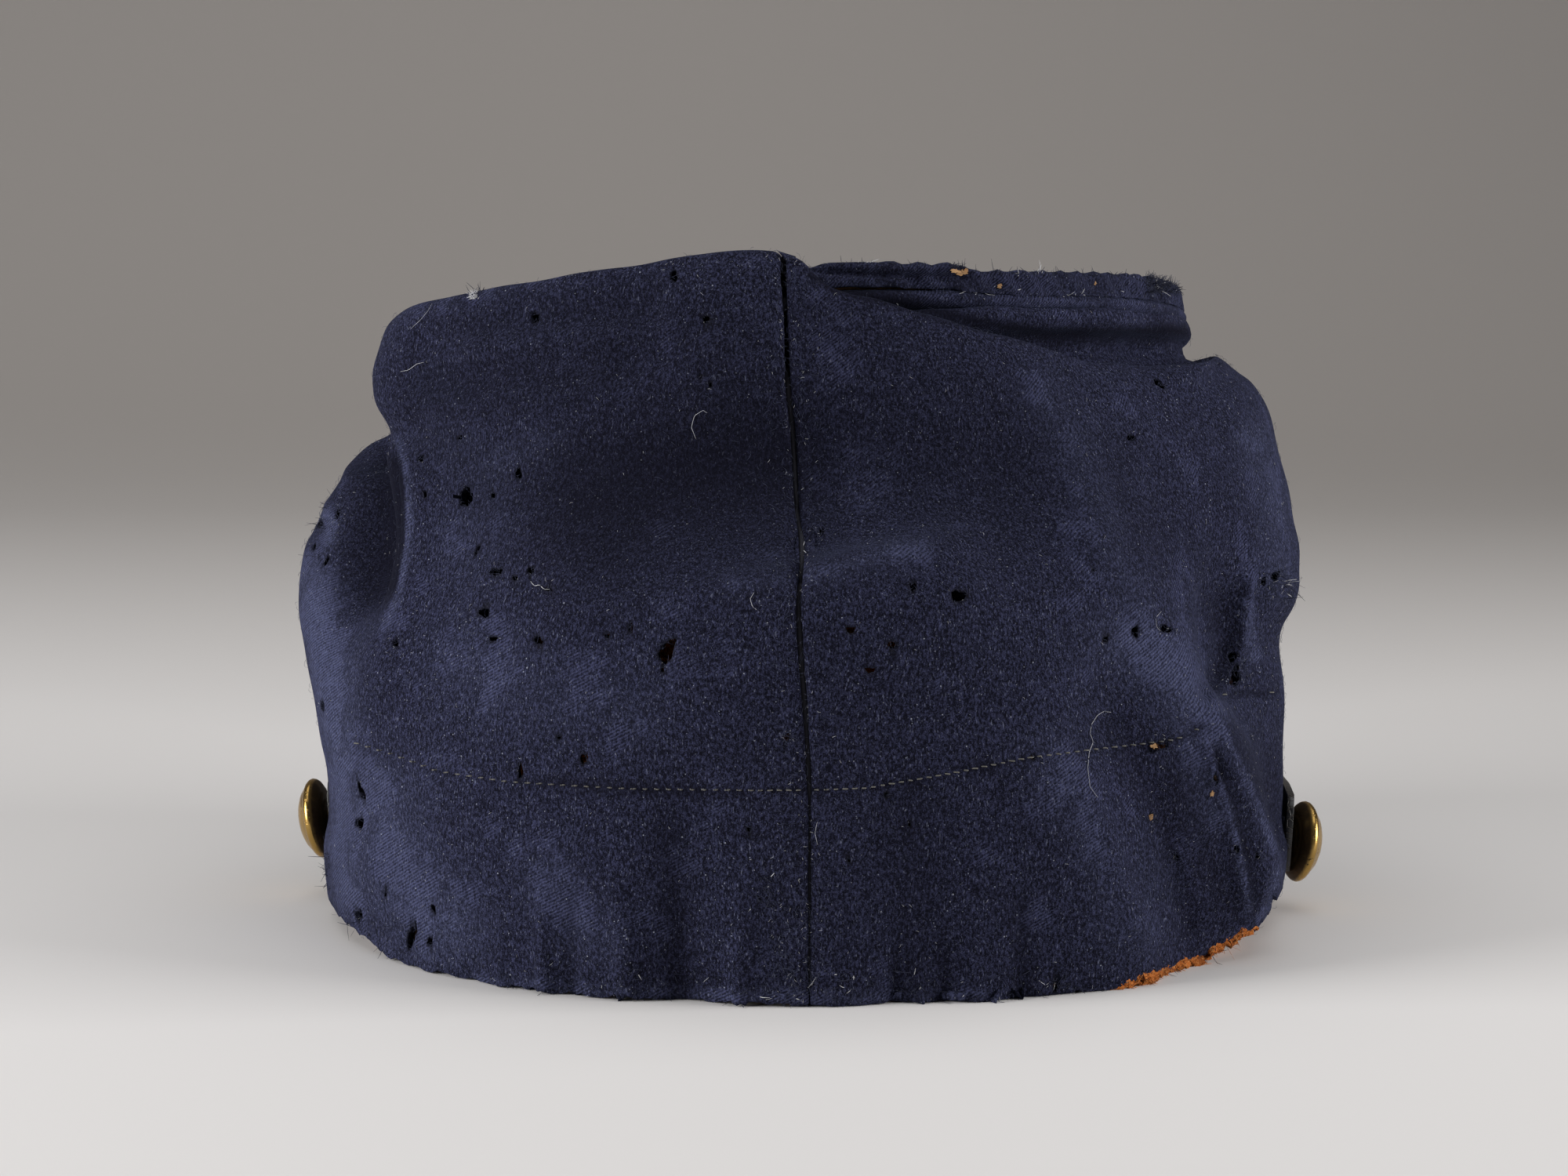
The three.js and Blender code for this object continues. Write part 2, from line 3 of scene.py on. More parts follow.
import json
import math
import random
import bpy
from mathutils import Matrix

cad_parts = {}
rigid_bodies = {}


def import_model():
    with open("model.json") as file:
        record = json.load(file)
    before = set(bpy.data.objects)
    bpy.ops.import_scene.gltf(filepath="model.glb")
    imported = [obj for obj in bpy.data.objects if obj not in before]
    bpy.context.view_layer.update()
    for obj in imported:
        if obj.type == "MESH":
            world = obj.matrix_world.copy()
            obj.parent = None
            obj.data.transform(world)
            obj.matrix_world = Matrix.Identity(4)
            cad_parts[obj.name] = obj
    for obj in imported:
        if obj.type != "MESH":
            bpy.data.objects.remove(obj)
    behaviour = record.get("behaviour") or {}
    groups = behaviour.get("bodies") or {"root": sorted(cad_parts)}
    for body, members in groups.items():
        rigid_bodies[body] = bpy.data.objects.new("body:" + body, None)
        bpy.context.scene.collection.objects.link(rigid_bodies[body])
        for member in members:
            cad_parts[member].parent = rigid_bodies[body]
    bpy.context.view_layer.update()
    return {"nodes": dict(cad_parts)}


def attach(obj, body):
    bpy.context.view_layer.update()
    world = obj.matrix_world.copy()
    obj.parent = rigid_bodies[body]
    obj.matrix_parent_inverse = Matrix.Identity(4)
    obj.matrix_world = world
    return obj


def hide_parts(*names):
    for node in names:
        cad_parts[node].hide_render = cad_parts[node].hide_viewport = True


bl_info = {
    "name": "Forage cap",
    "version": (1, 0, 0),
    "blender": (4, 5, 0),
    "location": "3D View > Sidebar > Cap",
    "description": "Makes the worn wool, leather and brass of an old forage cap over its packed solids",
    "category": "Object",
}

from contextlib import contextmanager

import bmesh
import bpy
import numpy as np
from mathutils import Matrix, Vector, noise
from mathutils.bvhtree import BVHTree
from mathutils.kdtree import KDTree

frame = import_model()

MM = 0.001
UP = Vector((0, 0, 1))
SHARP_EDGE = math.radians(50)

# The camera: level with the cap's back, a little above it. Photograph pixels are those of a
# picture 2000 wide and 1500 high.
PICTURE_WIDTH = 2000
PICTURE_HEIGHT = 1500
SENSOR_WIDTH = 36.0
LENS = 120.0
CAMERA_RISE = math.radians(8)
CAMERA_DISTANCE = 1.0
CAMERA_TARGET = Vector((-0.00482, -0.02190, 0.0620))

FOCAL_PIXELS = LENS / SENSOR_WIDTH * PICTURE_WIDTH
CAMERA_BACK = Vector((0, -math.cos(CAMERA_RISE), math.sin(CAMERA_RISE)))
CAMERA_UP = Vector((0, math.sin(CAMERA_RISE), math.cos(CAMERA_RISE)))
CAMERA_RIGHT = Vector((1, 0, 0))
CAMERA_PLACE = CAMERA_TARGET + CAMERA_BACK * CAMERA_DISTANCE
PIXEL = CAMERA_DISTANCE / FOCAL_PIXELS

# Where the body's upright axis stands, halfway between its sides and between back and front.
BODY_AXIS = Vector((-0.0003, -0.0219, 0))


# Tables and photograph pixels

def table(columns, *rows):
    """Rows of values as dictionaries, under the names of their columns."""
    names = columns.split()
    return [dict(zip(names, row)) for row in rows]


def to_pixels(places):
    """The photograph pixels of an array of places."""
    away = np.asarray(places, float).reshape(-1, 3) - np.array(CAMERA_PLACE)
    depth = -(away @ np.array(CAMERA_BACK))
    across = away @ np.array(CAMERA_RIGHT)
    rise = away @ np.array(CAMERA_UP)
    return np.stack([PICTURE_WIDTH / 2 + FOCAL_PIXELS * across / depth,
                     PICTURE_HEIGHT / 2 - FOCAL_PIXELS * rise / depth], axis=1)


def pixel_ray(x, y):
    """The direction from the camera through a photograph pixel."""
    return (CAMERA_RIGHT * (x - PICTURE_WIDTH / 2) / FOCAL_PIXELS
            + CAMERA_UP * (PICTURE_HEIGHT / 2 - y) / FOCAL_PIXELS - CAMERA_BACK).normalized()


def shown_at(tree, pixel):
    """The place that a photograph pixel shows on a search tree's faces, and its normal."""
    place, normal, _, _ = tree.ray_cast(CAMERA_PLACE, pixel_ray(*pixel))
    return place, normal


def line_distance(points, line):
    """How far each point of an array is from a polyline, and the share of the way along it."""
    best = np.full(len(points), np.inf)
    share = np.zeros(len(points))
    line = np.asarray(line, float)
    lengths = np.linalg.norm(line[1:] - line[:-1], axis=1)
    done = 0.0
    for start, end, length in zip(line[:-1], line[1:], lengths):
        way = end - start
        t = np.clip(((points - start) @ way) / length ** 2, 0, 1)
        away = np.linalg.norm(points - start - t[:, None] * way, axis=1)
        near = away < best
        best[near] = away[near]
        share[near] = (done + t[near] * length) / lengths.sum()
        done += length
    return best, share


def smooth(low, high, value):
    """Brings a value smoothly from 0 at low to 1 at high."""
    t = np.clip((value - low) / (high - low), 0, 1)
    return t * t * (3 - 2 * t)


def bell(away, width):
    """1 at no distance, falling off smoothly over a width."""
    return np.exp(-(away / width) ** 2)


# Meshes

def edit(piece):
    """Selects one piece alone, makes it active and goes into edit mode."""
    only(piece)
    bpy.ops.object.mode_set(mode="EDIT")


def leave_edit():
    bpy.ops.object.mode_set(mode="OBJECT")


def only(piece):
    for other in bpy.context.selected_objects:
        other.select_set(False)
    piece.select_set(True)
    bpy.context.view_layer.objects.active = piece


def modify(piece, kind, **settings):
    """Adds a modifier and applies it."""
    only(piece)
    modifier = piece.modifiers.new(kind.title(), kind)
    for key, value in settings.items():
        setattr(modifier, key, value)
    bpy.ops.object.modifier_apply(modifier=modifier.name)


def subdivide(piece, levels):
    modify(piece, "SUBSURF", levels=levels, render_levels=levels,
           boundary_smooth="PRESERVE_CORNERS")


def shade(piece, degrees=40):
    only(piece)
    bpy.ops.object.shade_smooth_by_angle(angle=math.radians(degrees))


def linked(name, mesh):
    """A new object for a mesh, in the scene."""
    piece = bpy.data.objects.new(name, mesh)
    bpy.context.scene.collection.objects.link(piece)
    return piece


def mesh_piece(name, corners, faces):
    mesh = bpy.data.meshes.new(name)
    mesh.from_pydata(corners, [], faces)
    return linked(name, mesh)


def node_copy(node, name):
    """A copy of a CAD node's mesh, merged and with its triangles paired into quads."""
    piece = linked(name, frame["nodes"][node].data.copy())
    edit(piece)
    bpy.ops.mesh.select_all(action="SELECT")
    bpy.ops.mesh.remove_doubles(threshold=1e-6)
    bpy.ops.mesh.tris_convert_to_quads(face_threshold=math.pi, shape_threshold=math.pi,
                                       topology_influence=2.0)
    leave_edit()
    return piece


@contextmanager
def mesh_of(piece):
    """Lends a piece's mesh as a bmesh and puts it back."""
    bm = bmesh.new()
    bm.from_mesh(piece.data)
    yield bm
    bm.to_mesh(piece.data)
    bm.free()


def coordinates(mesh):
    places = np.empty(len(mesh.vertices) * 3)
    mesh.vertices.foreach_get("co", places)
    return places.reshape(-1, 3)


def set_coordinates(mesh, places):
    mesh.vertices.foreach_set("co", places.ravel())
    mesh.update()


def normals(mesh):
    directions = np.empty(len(mesh.vertices) * 3)
    mesh.vertex_normals.foreach_get("vector", directions)
    return directions.reshape(-1, 3)


def facing(directions):
    """How squarely each direction faces the camera, up to 1."""
    return directions @ np.array(CAMERA_BACK)


def set_attribute(mesh, name, values):
    """Stores one value for each vertex, or the same for all."""
    attribute = mesh.attributes.get(name) or mesh.attributes.new(name, "FLOAT", "POINT")
    attribute.data.foreach_set("value", np.full(len(mesh.vertices), values, float))


def crease_sharp(piece, amount):
    """Creases a piece's sharp edges, so that subdividing keeps them."""
    with mesh_of(piece) as bm:
        layer = bm.edges.layers.float.new("crease_edge")
        for edge in bm.edges:
            if edge.is_boundary or edge.calc_face_angle(0) > SHARP_EDGE:
                edge[layer] = amount


def tree_of(*pieces):
    """One search tree over the faces of several pieces."""
    corners, faces = [], []
    for piece in pieces:
        start = len(corners)
        corners += [v.co.copy() for v in piece.data.vertices]
        faces += [[start + i for i in p.vertices] for p in piece.data.polygons]
    return BVHTree.FromPolygons(corners, faces)


def finish(piece, material, slot, *replaced):
    """Gives a piece its material, hangs it under the root body and hides the nodes it stands for; its
    slot is not used.
    """
    piece.data.materials.clear()
    piece.data.materials.append(material)
    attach(piece, "root")
    if replaced:
        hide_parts(*replaced)


# Materials

class Socket:
    """A shader value that takes part in plain arithmetic by adding Math nodes."""

    def __init__(self, shader, socket):
        self.shader = shader
        self.socket = socket

    def math(self, operation, first, second):
        return self.shader.node("Math", {"operation": operation}, {0: first, 1: second})

    def __add__(self, other):
        return self.math("ADD", self, other)

    def __radd__(self, other):
        return self.math("ADD", other, self)

    def __sub__(self, other):
        return self.math("SUBTRACT", self, other)

    def __rsub__(self, other):
        return self.math("SUBTRACT", other, self)

    def __mul__(self, other):
        return self.math("MULTIPLY", self, other)

    def step(self, low, high):
        """This value brought smoothly from 0 at low to 1 at high."""
        return self.shader.node("MapRange", {"interpolation_type": "SMOOTHSTEP"},
                                {"Value": self, "From Min": low, "From Max": high})


class Shader:
    """The node tree of one material."""

    def __init__(self, name):
        self.material = bpy.data.materials.new(name)
        self.material.use_nodes = True
        self.tree = self.material.node_tree
        self.tree.nodes.clear()
        self.place = self.node("TexCoord", {}, {}, output="Object")

    def node(self, kind, settings, inputs, output=0):
        """Adds one node: its settings first, then the values or links of its sockets."""
        made = self.tree.nodes.new("ShaderNode" + kind)
        for key, value in settings.items():
            setattr(made, key, value)
        for key, value in inputs.items():
            if isinstance(value, Socket):
                self.tree.links.new(value.socket, made.inputs[key])
            else:
                made.inputs[key].default_value = value
        return Socket(self, made.outputs[output]) if output is not None else None

    def noise(self, scale, detail, roughness, stretch=None):
        place = self.place
        if stretch:
            place = self.node("Mapping", {}, {"Vector": place, "Scale": stretch})
        return self.node("TexNoise", {"noise_dimensions": "3D"},
                         {"Vector": place, "Scale": scale, "Detail": detail,
                          "Roughness": roughness})

    def cells(self, scale, feature):
        return self.node("TexVoronoi", {"feature": feature},
                         {"Vector": self.place, "Scale": scale, "Randomness": 1.0},
                         output="Distance")

    def axis(self, name):
        return self.node("SeparateXYZ", {}, {"Vector": self.place}, output=name)

    def attribute(self, name):
        return self.node("Attribute", {"attribute_name": name}, {}, output="Fac")

    def mix(self, factor, first, second):
        """One colour turned into another by a factor."""
        def colour(value):
            return value if isinstance(value, Socket) else (*value, 1)
        return self.node("Mix", {"data_type": "RGBA"},
                         {0: factor, 6: colour(first), 7: colour(second)}, output=2)

    def bump(self, height, distance, strength):
        return self.node("Bump", {},
                         {"Height": height, "Distance": distance, "Strength": strength})

    def finish(self, colour, roughness, normal, metallic=0.0, **settings):
        """The surface itself, with its varying inputs and its constant settings."""
        inputs = {"Base Color": colour, "Roughness": roughness, "Metallic": metallic,
                  "Normal": normal}
        inputs.update({key.replace("_", " "): value for key, value in settings.items()})
        surface = self.node("BsdfPrincipled", {}, inputs)
        self.node("OutputMaterial", {}, {"Surface": surface}, output=None)
        return self.material


class CapCloth(bpy.types.PropertyGroup):
    """The wool."""
    deep: bpy.props.FloatVectorProperty(
        name="Deep colour", description="The wool between its fibres", subtype="COLOR",
        default=(0.0038, 0.0038, 0.0082))
    nap: bpy.props.FloatVectorProperty(
        name="Nap colour", description="The fibres of the nap", subtype="COLOR",
        default=(0.046, 0.050, 0.104))
    # The faded colour also stands for painted highlights on lit ridges.
    faded_and_highlight: bpy.props.FloatVectorProperty(
        name="Faded colour", description="Where the wool is rubbed or dusty", subtype="COLOR",
        default=(0.105, 0.118, 0.215))
    thickness: bpy.props.FloatProperty(
        name="Thickness", description="Thickness of the body cloth", unit="LENGTH",
        default=2.0 * MM)


class CapLeather(bpy.types.PropertyGroup):
    """The leather."""
    black: bpy.props.FloatVectorProperty(
        name="Black", description="Glazed leather of the peak and strap", subtype="COLOR",
        default=(0.009, 0.009, 0.011))
    rust: bpy.props.FloatVectorProperty(
        name="Rust", description="Decayed leather of the sweatband", subtype="COLOR",
        default=(0.56, 0.165, 0.035))


class CapBrass(bpy.types.PropertyGroup):
    """The brass."""
    rubbed: bpy.props.FloatVectorProperty(
        name="Rubbed", description="Brass where fingers keep it bright", subtype="COLOR",
        default=(0.46, 0.29, 0.085))
    tarnish: bpy.props.FloatVectorProperty(
        name="Tarnish", description="Brass gone brown", subtype="COLOR",
        default=(0.075, 0.045, 0.018))
    diameter: bpy.props.FloatProperty(
        name="Button diameter", description="Across a side button", unit="LENGTH",
        default=15.6 * MM)


class CapTable(bpy.types.PropertyGroup):
    """The table and the backdrop, whose darker colour high up is painted shade."""
    colour: bpy.props.FloatVectorProperty(
        name="Table colour", description="The pale table", subtype="COLOR",
        default=(0.68, 0.66, 0.65))
    backdrop: bpy.props.FloatVectorProperty(
        name="Backdrop colour", description="The wall behind, high up", subtype="COLOR",
        default=(0.345, 0.32, 0.302))


TWILL_TURN = math.radians(62)
TWILL_SCALE = 560
HAIR_COLOUR = (0.13, 0.14, 0.21)
LINT_COLOUR = (0.36, 0.38, 0.45)
TORN_COLOUR = (0.006, 0.006, 0.009)


def wool(name, worn=0.0):
    """Fulled wool: dark between its fibres, its nap lighter, its twill showing where worn."""
    cloth = bpy.context.scene.cap_cloth
    s = Shader(name)
    drift = s.noise(38, 3, 0.55)
    nap = s.noise(2300, 3, 0.65, stretch=(1, 1, 0.6))
    fine = s.noise(5200, 2, 0.6)
    clumps = s.noise(420, 2, 0.5)
    wear_and_highlight = s.attribute("rubbed")
    cloth_map = s.node("UVMap", {"uv_map": "Cloth"}, {}, output="UV")
    turned = s.node("Mapping", {}, {"Vector": cloth_map, "Rotation": (0, 0, TWILL_TURN)})
    twill = s.node("TexWave", {"wave_type": "BANDS", "bands_direction": "X"},
                   {"Vector": turned, "Scale": TWILL_SCALE, "Distortion": 1.5, "Detail": 1.0,
                    "Detail Scale": 2.0}, output="Fac")
    weave = twill * (s.noise(95, 3, 0.6) + worn + wear_and_highlight * 0.25).step(0.56, 0.72)
    light = (nap * 0.62 + fine * 0.46 + clumps * 0.04 + weave * 0.12).step(0.47, 0.80)
    colour = s.mix(light, cloth.deep, cloth.nap)
    # Faded wool and random drift, together with painted highlights where the rubbed marks follow lit
    # ridges.
    faded_and_highlight = (wear_and_highlight * 0.6 + (drift - 0.5) * 0.7 + worn * 0.4).step(0.0, 1.0)
    colour = s.mix(faded_and_highlight * light * 0.55 + wear_and_highlight * 0.10, colour, cloth.faded_and_highlight)
    lint = 1 - (s.cells(850, "F1") + s.noise(420, 1, 0.5) * 0.30).step(0.17, 0.235)
    hairs = s.noise(3300, 1, 0.5, stretch=(1, 1, 0.35)).step(0.66, 0.74)
    colour = s.mix(hairs * 0.55, colour, HAIR_COLOUR)
    colour = s.mix(lint * 0.6, colour, LINT_COLOUR)
    # Painted shade: the wool turns to its deep colour in its folds, hollows and stitch grooves, and
    # takes a darker tone all over the disc.
    colour = s.mix(s.attribute("painted_shade_and_tone") * 0.93, colour, cloth.deep)
    colour = s.mix(s.attribute("torn").step(0.1, 1.0) * 0.75, colour, TORN_COLOUR)
    height = nap * 0.6 + fine * 0.25 + clumps * 0.5 + weave * 0.35
    return s.finish(colour, 0.95, s.bump(height, 0.35 * MM, 0.85), Sheen_Weight=0.035,
                    Sheen_Roughness=0.35, Sheen_Tint=(0.45, 0.55, 1.0, 1),
                    Specular_IOR_Level=0.05)


SCUFF_COLOUR = (0.055, 0.053, 0.052)
CRACK_COLOUR = (0.028, 0.02, 0.015)


def glazed_leather():
    """Black leather, scuffed grey and crazed in patches."""
    s = Shader("Black glazed leather")
    pores = s.noise(2600, 3, 0.6)
    cracks = 1 - s.cells(620, "DISTANCE_TO_EDGE").step(0.0, 0.07)
    crazed = cracks * s.noise(70, 3, 0.6).step(0.45, 0.6)
    scuffs = s.noise(240, 4, 0.7, stretch=(1, 1, 3)).step(0.55, 0.72)
    colour = s.mix(scuffs * 0.5, bpy.context.scene.cap_leather.black, SCUFF_COLOUR)
    colour = s.mix(crazed, colour, CRACK_COLOUR)
    roughness = 0.33 + scuffs * 0.3 + crazed * 0.25
    return s.finish(colour, roughness, s.bump(pores * 0.3 - crazed * 1.0, 0.12 * MM, 0.7),
                    Coat_Weight=0.25, Coat_Roughness=0.3)


STAINED_RUST = (0.26, 0.07, 0.016)
PALE_RUST = (0.74, 0.36, 0.13)
DARK_FLECK = (0.03, 0.014, 0.010)


def rotten_leather():
    """Rust leather gone rough, with stains, pale grains and dark flecks."""
    s = Shader("Rust leather")
    grain = s.noise(2200, 4, 0.75)
    stains = s.noise(260, 4, 0.65).step(0.42, 0.7)
    flecks = s.noise(900, 3, 0.7).step(0.58, 0.66)
    light = s.noise(1900, 2, 0.6).step(0.52, 0.66)
    colour = s.mix(stains, bpy.context.scene.cap_leather.rust, STAINED_RUST)
    colour = s.mix(light * 0.6, colour, PALE_RUST)
    colour = s.mix(flecks * 0.75, colour, DARK_FLECK)
    return s.finish(colour, 0.92, s.bump(grain, 0.8 * MM, 1.0), Specular_IOR_Level=0.15)


BOARD_DARK = (0.44, 0.24, 0.11)
BOARD_LIGHT = (0.60, 0.38, 0.20)
BOARD_STAIN = (0.30, 0.13, 0.045)


def pasteboard():
    """Layered tan board with fibres along it."""
    s = Shader("Pasteboard")
    fibre = s.noise(900, 3, 0.6, stretch=(1, 1, 6))
    stains = s.noise(90, 3, 0.6).step(0.4, 0.7)
    colour = s.mix(stains * 0.35, s.mix(fibre, BOARD_DARK, BOARD_LIGHT), BOARD_STAIN)
    return s.finish(colour, 0.9, s.bump(fibre, 0.3 * MM, 0.7), Specular_IOR_Level=0.2)


def aged_brass():
    """Brass that is brown in its clouds and pits and golden where rubbed."""
    brass = bpy.context.scene.cap_brass
    s = Shader("Aged brass")
    clouds = s.noise(190, 4, 0.65)
    pits = s.noise(1500, 3, 0.7).step(0.58, 0.68)
    dark = (clouds * 0.9 + pits * 0.3 + s.attribute("hidden") * 0.5).step(0.45, 0.95)
    colour = s.mix(dark, brass.rubbed, brass.tarnish)
    return s.finish(colour, 0.26 + dark * 0.3, s.bump(clouds * 0.3 - pits * 0.6, 0.08 * MM, 0.7),
                    metallic=1 - dark * 0.35)


def thread(name, colour):
    """Spun thread of one colour, darker in places."""
    s = Shader(name)
    shadow = tuple(c * 0.55 for c in colour)
    return s.finish(s.mix(s.noise(900, 2, 0.6), shadow, colour), 0.85,
                    s.bump(s.noise(5000, 2, 0.6), 0.05 * MM, 0.5), Specular_IOR_Level=0.25)


# The wool body

# Folds too narrow for the solids, along lines of photograph pixels. Depths are in
# millimetres, outwards positive, at the line's start and end; width is its half width.
FOLD_LINES = table("start end width line",
    # The upper left: valleys and ridges in turn.
    (-0.7, -1.26, 2.6, [(540, 436), (640, 412), (833, 392)]),
    (1.17, 0.91, 2.8, [(604, 446), (720, 436), (850, 422)]),
    (-1.17, -1.04, 3.2, [(510, 482), (620, 480), (715, 472), (840, 446)]),
    (0.91, 0.52, 3.0, [(520, 512), (640, 508), (760, 490)]),
    # The crease across the middle: ridges and valleys.
    (0.39, 1.3, 2.6, [(700, 800), (780, 772), (903, 758), (985, 738)]),
    (1.54, 0.42, 2.4, [(1045, 728), (1090, 716), (1176, 698), (1240, 686)]),
    (-0.3, -0.8, 3.0, [(800, 742), (905, 724), (1010, 700)]),
    (-0.8, -0.3, 3.0, [(1040, 690), (1110, 672), (1220, 650)]),
    # The left bulge and the rim of its worn patch.
    (0.6, 0.5, 3.6, [(440, 610), (448, 680), (440, 750)]),
    (0.5, 0.4, 1.0, [(412, 640), (430, 660), (440, 690), (420, 706)]),
    # The right shoulder and the pit.
    (0.4, 0.7, 3.4, [(1317, 482), (1360, 545), (1386, 610), (1408, 680)]),
    (1.26, 0.98, 1.2, [(1590, 740), (1586, 800), (1576, 850), (1552, 892)]),
    (-1.35, -1.95, 2.4, [(1562, 770), (1563, 830), (1548, 878)]),
    # The fan of folds at the lower right.
    (-0.48, -1.28, 2.2, [(1420, 914), (1475, 1028), (1516, 1180)]),
    (0.3, 1.2, 2.2, [(1352, 940), (1410, 1060), (1452, 1200)]),
    # The hem's puckers.
    (0.34, 1.53, 1.6, [(690, 1150), (696, 1264)]),
    (-0.12, -1.0, 2.0, [(727, 1120), (730, 1268)]),
    (0.34, 1.53, 2.2, [(789, 1120), (800, 1272)]),
    (-0.25, -0.88, 3.2, [(868, 1060), (874, 1276)]),
    (0.34, 1.36, 2.6, [(947, 1130), (944, 1280)]),
    (-0.25, -1.12, 1.4, [(1141, 1200), (1141, 1280)]),
    (0.34, 1.36, 1.6, [(1172, 1190), (1176, 1280)]),
    (-0.25, -1.0, 1.5, [(1206, 1200), (1208, 1280)]),
    (0.34, 1.19, 2.0, [(1240, 1190), (1246, 1276)]),
    (-0.25, -1.0, 2.2, [(1299, 1143), (1304, 1270)]),
    (0.17, 1.02, 1.8, [(560, 1170), (548, 1246)]),
    (-0.12, -0.75, 1.8, [(604, 1170), (600, 1256)]),
    (0.17, 1.02, 1.6, [(640, 1170), (642, 1262)]))

# Folds where the cloth on one side stands over the other: how far each side moves out in millimetres
# and how far that reaches, how dark the painted shade on the low side is and how far that reaches, and
# lines of photograph pixels that run downwards.
STEP_FOLDS = table("left right reach_left reach_right dark dark_reach line",
    # The left crease.
    (-2.9, 0.9, 6.0, 5.0, 1.0, 7.0, [
     (501, 556), (511, 595), (514, 647), (513, 691), (503, 750), (484, 786)]),
    # The fold over the band.
    (1.2, -1.7, 2.8, 5.0, 0.6, 4.5, [
     (1540, 892), (1560, 920), (1575, 952), (1590, 985), (1607, 1020), (1620, 1057), (1632, 1085),
     (1640, 1110)]),
    # The fold through the slit.
    (1.4, -1.5, 2.8, 2.4, 0.85, 1.8, [
     (1539, 935), (1552, 980), (1565, 1015), (1577, 1052), (1585, 1090), (1592, 1125), (1597, 1160),
     (1600, 1186)]))

# Stitches that hold the band, in photograph pixels, and the pitch of each line in pixels.
BAND_STITCHES = table("pitch line",
    (15.0, [
     (455, 948), (498, 961), (560, 984), (648, 997), (727, 1002), (800, 1006), (886, 1007),
     (960, 1008)]),
    (12.0, [
     (970, 1008), (1030, 1008), (1106, 1005), (1220, 985), (1308, 967), (1396, 956), (1455, 949),
     (1500, 943), (1534, 927)]),
    (12.0, [(1562, 886), (1600, 884), (1626, 883)]))

# Moth holes and slits: place and size in photograph pixels, and turn in degrees.
HOLES = table("x y wide high turn",
    (860, 352, 9, 13, 10), (683, 405, 8, 12, 0), (900, 407, 9, 9, 0), (893, 480, 5, 5, 0),
    (906, 491, 5, 6, 0), (537, 585, 9, 8, 0), (540, 631, 8, 8, 0), (586, 558, 6, 5, 0),
    (594, 634, 14, 25, 20), (661, 604, 8, 12, -10), (628, 632, 6, 6, 0), (608, 701, 5, 15, 30),
    (632, 729, 15, 9, -8), (655, 737, 9, 5, 25), (676, 727, 9, 9, 0), (698, 752, 12, 5, 15),
    (616, 781, 18, 10, 18), (628, 814, 12, 7, 0), (686, 817, 13, 9, 10), (804, 801, 8, 11, 0),
    (774, 811, 9, 5, 0), (850, 831, 19, 30, 22), (845, 856, 8, 7, 0), (504, 820, 8, 7, 0),
    (1048, 678, 6, 7, 0), (1165, 748, 8, 14, -8), (1223, 760, 17, 17, 30), (1085, 803, 12, 9, 10),
    (1138, 823, 13, 9, 35), (1110, 855, 13, 8, 20), (1479, 489, 16, 6, 40), (1443, 558, 8, 8, 0),
    (1411, 816, 9, 7, 0), (1449, 806, 8, 15, -15), (1487, 802, 16, 9, 5), (1395, 728, 5, 5, 0),
    (411, 900, 5, 10, 0), (712, 940, 5, 7, 0), (744, 968, 9, 14, 5), (663, 985, 6, 20, 3),
    (1003, 941, 9, 8, 0), (1318, 966, 8, 6, 0), (1478, 952, 20, 8, -4), (955, 1058, 8, 6, 0),
    (1083, 1098, 4, 6, 0), (1551, 993, 5, 12, -18), (1466, 1042, 6, 7, 0), (460, 1010, 7, 23, -25),
    (458, 1050, 10, 13, -20), (456, 1168, 9, 12, 0), (491, 1141, 5, 10, 0), (552, 1160, 6, 6, 0),
    (524, 1195, 9, 31, 12), (548, 1202, 10, 13, 0), (1130, 1014, 8, 5, 0), (1160, 1051, 5, 6, 0),
    (1500, 1094, 6, 8, 0), (1578, 1084, 6, 10, -10), (1604, 1092, 5, 6, 0), (1350, 1258, 10, 8, 0),
    (1576, 862, 12, 26, 15), (1571, 838, 8, 13, 0), (1627, 735, 9, 12, 20), (1612, 742, 6, 9, 0),
    (430, 655, 4, 12, 10), (408, 668, 5, 10, 25), (416, 715, 4, 14, 28), (400, 698, 4, 9, 20))

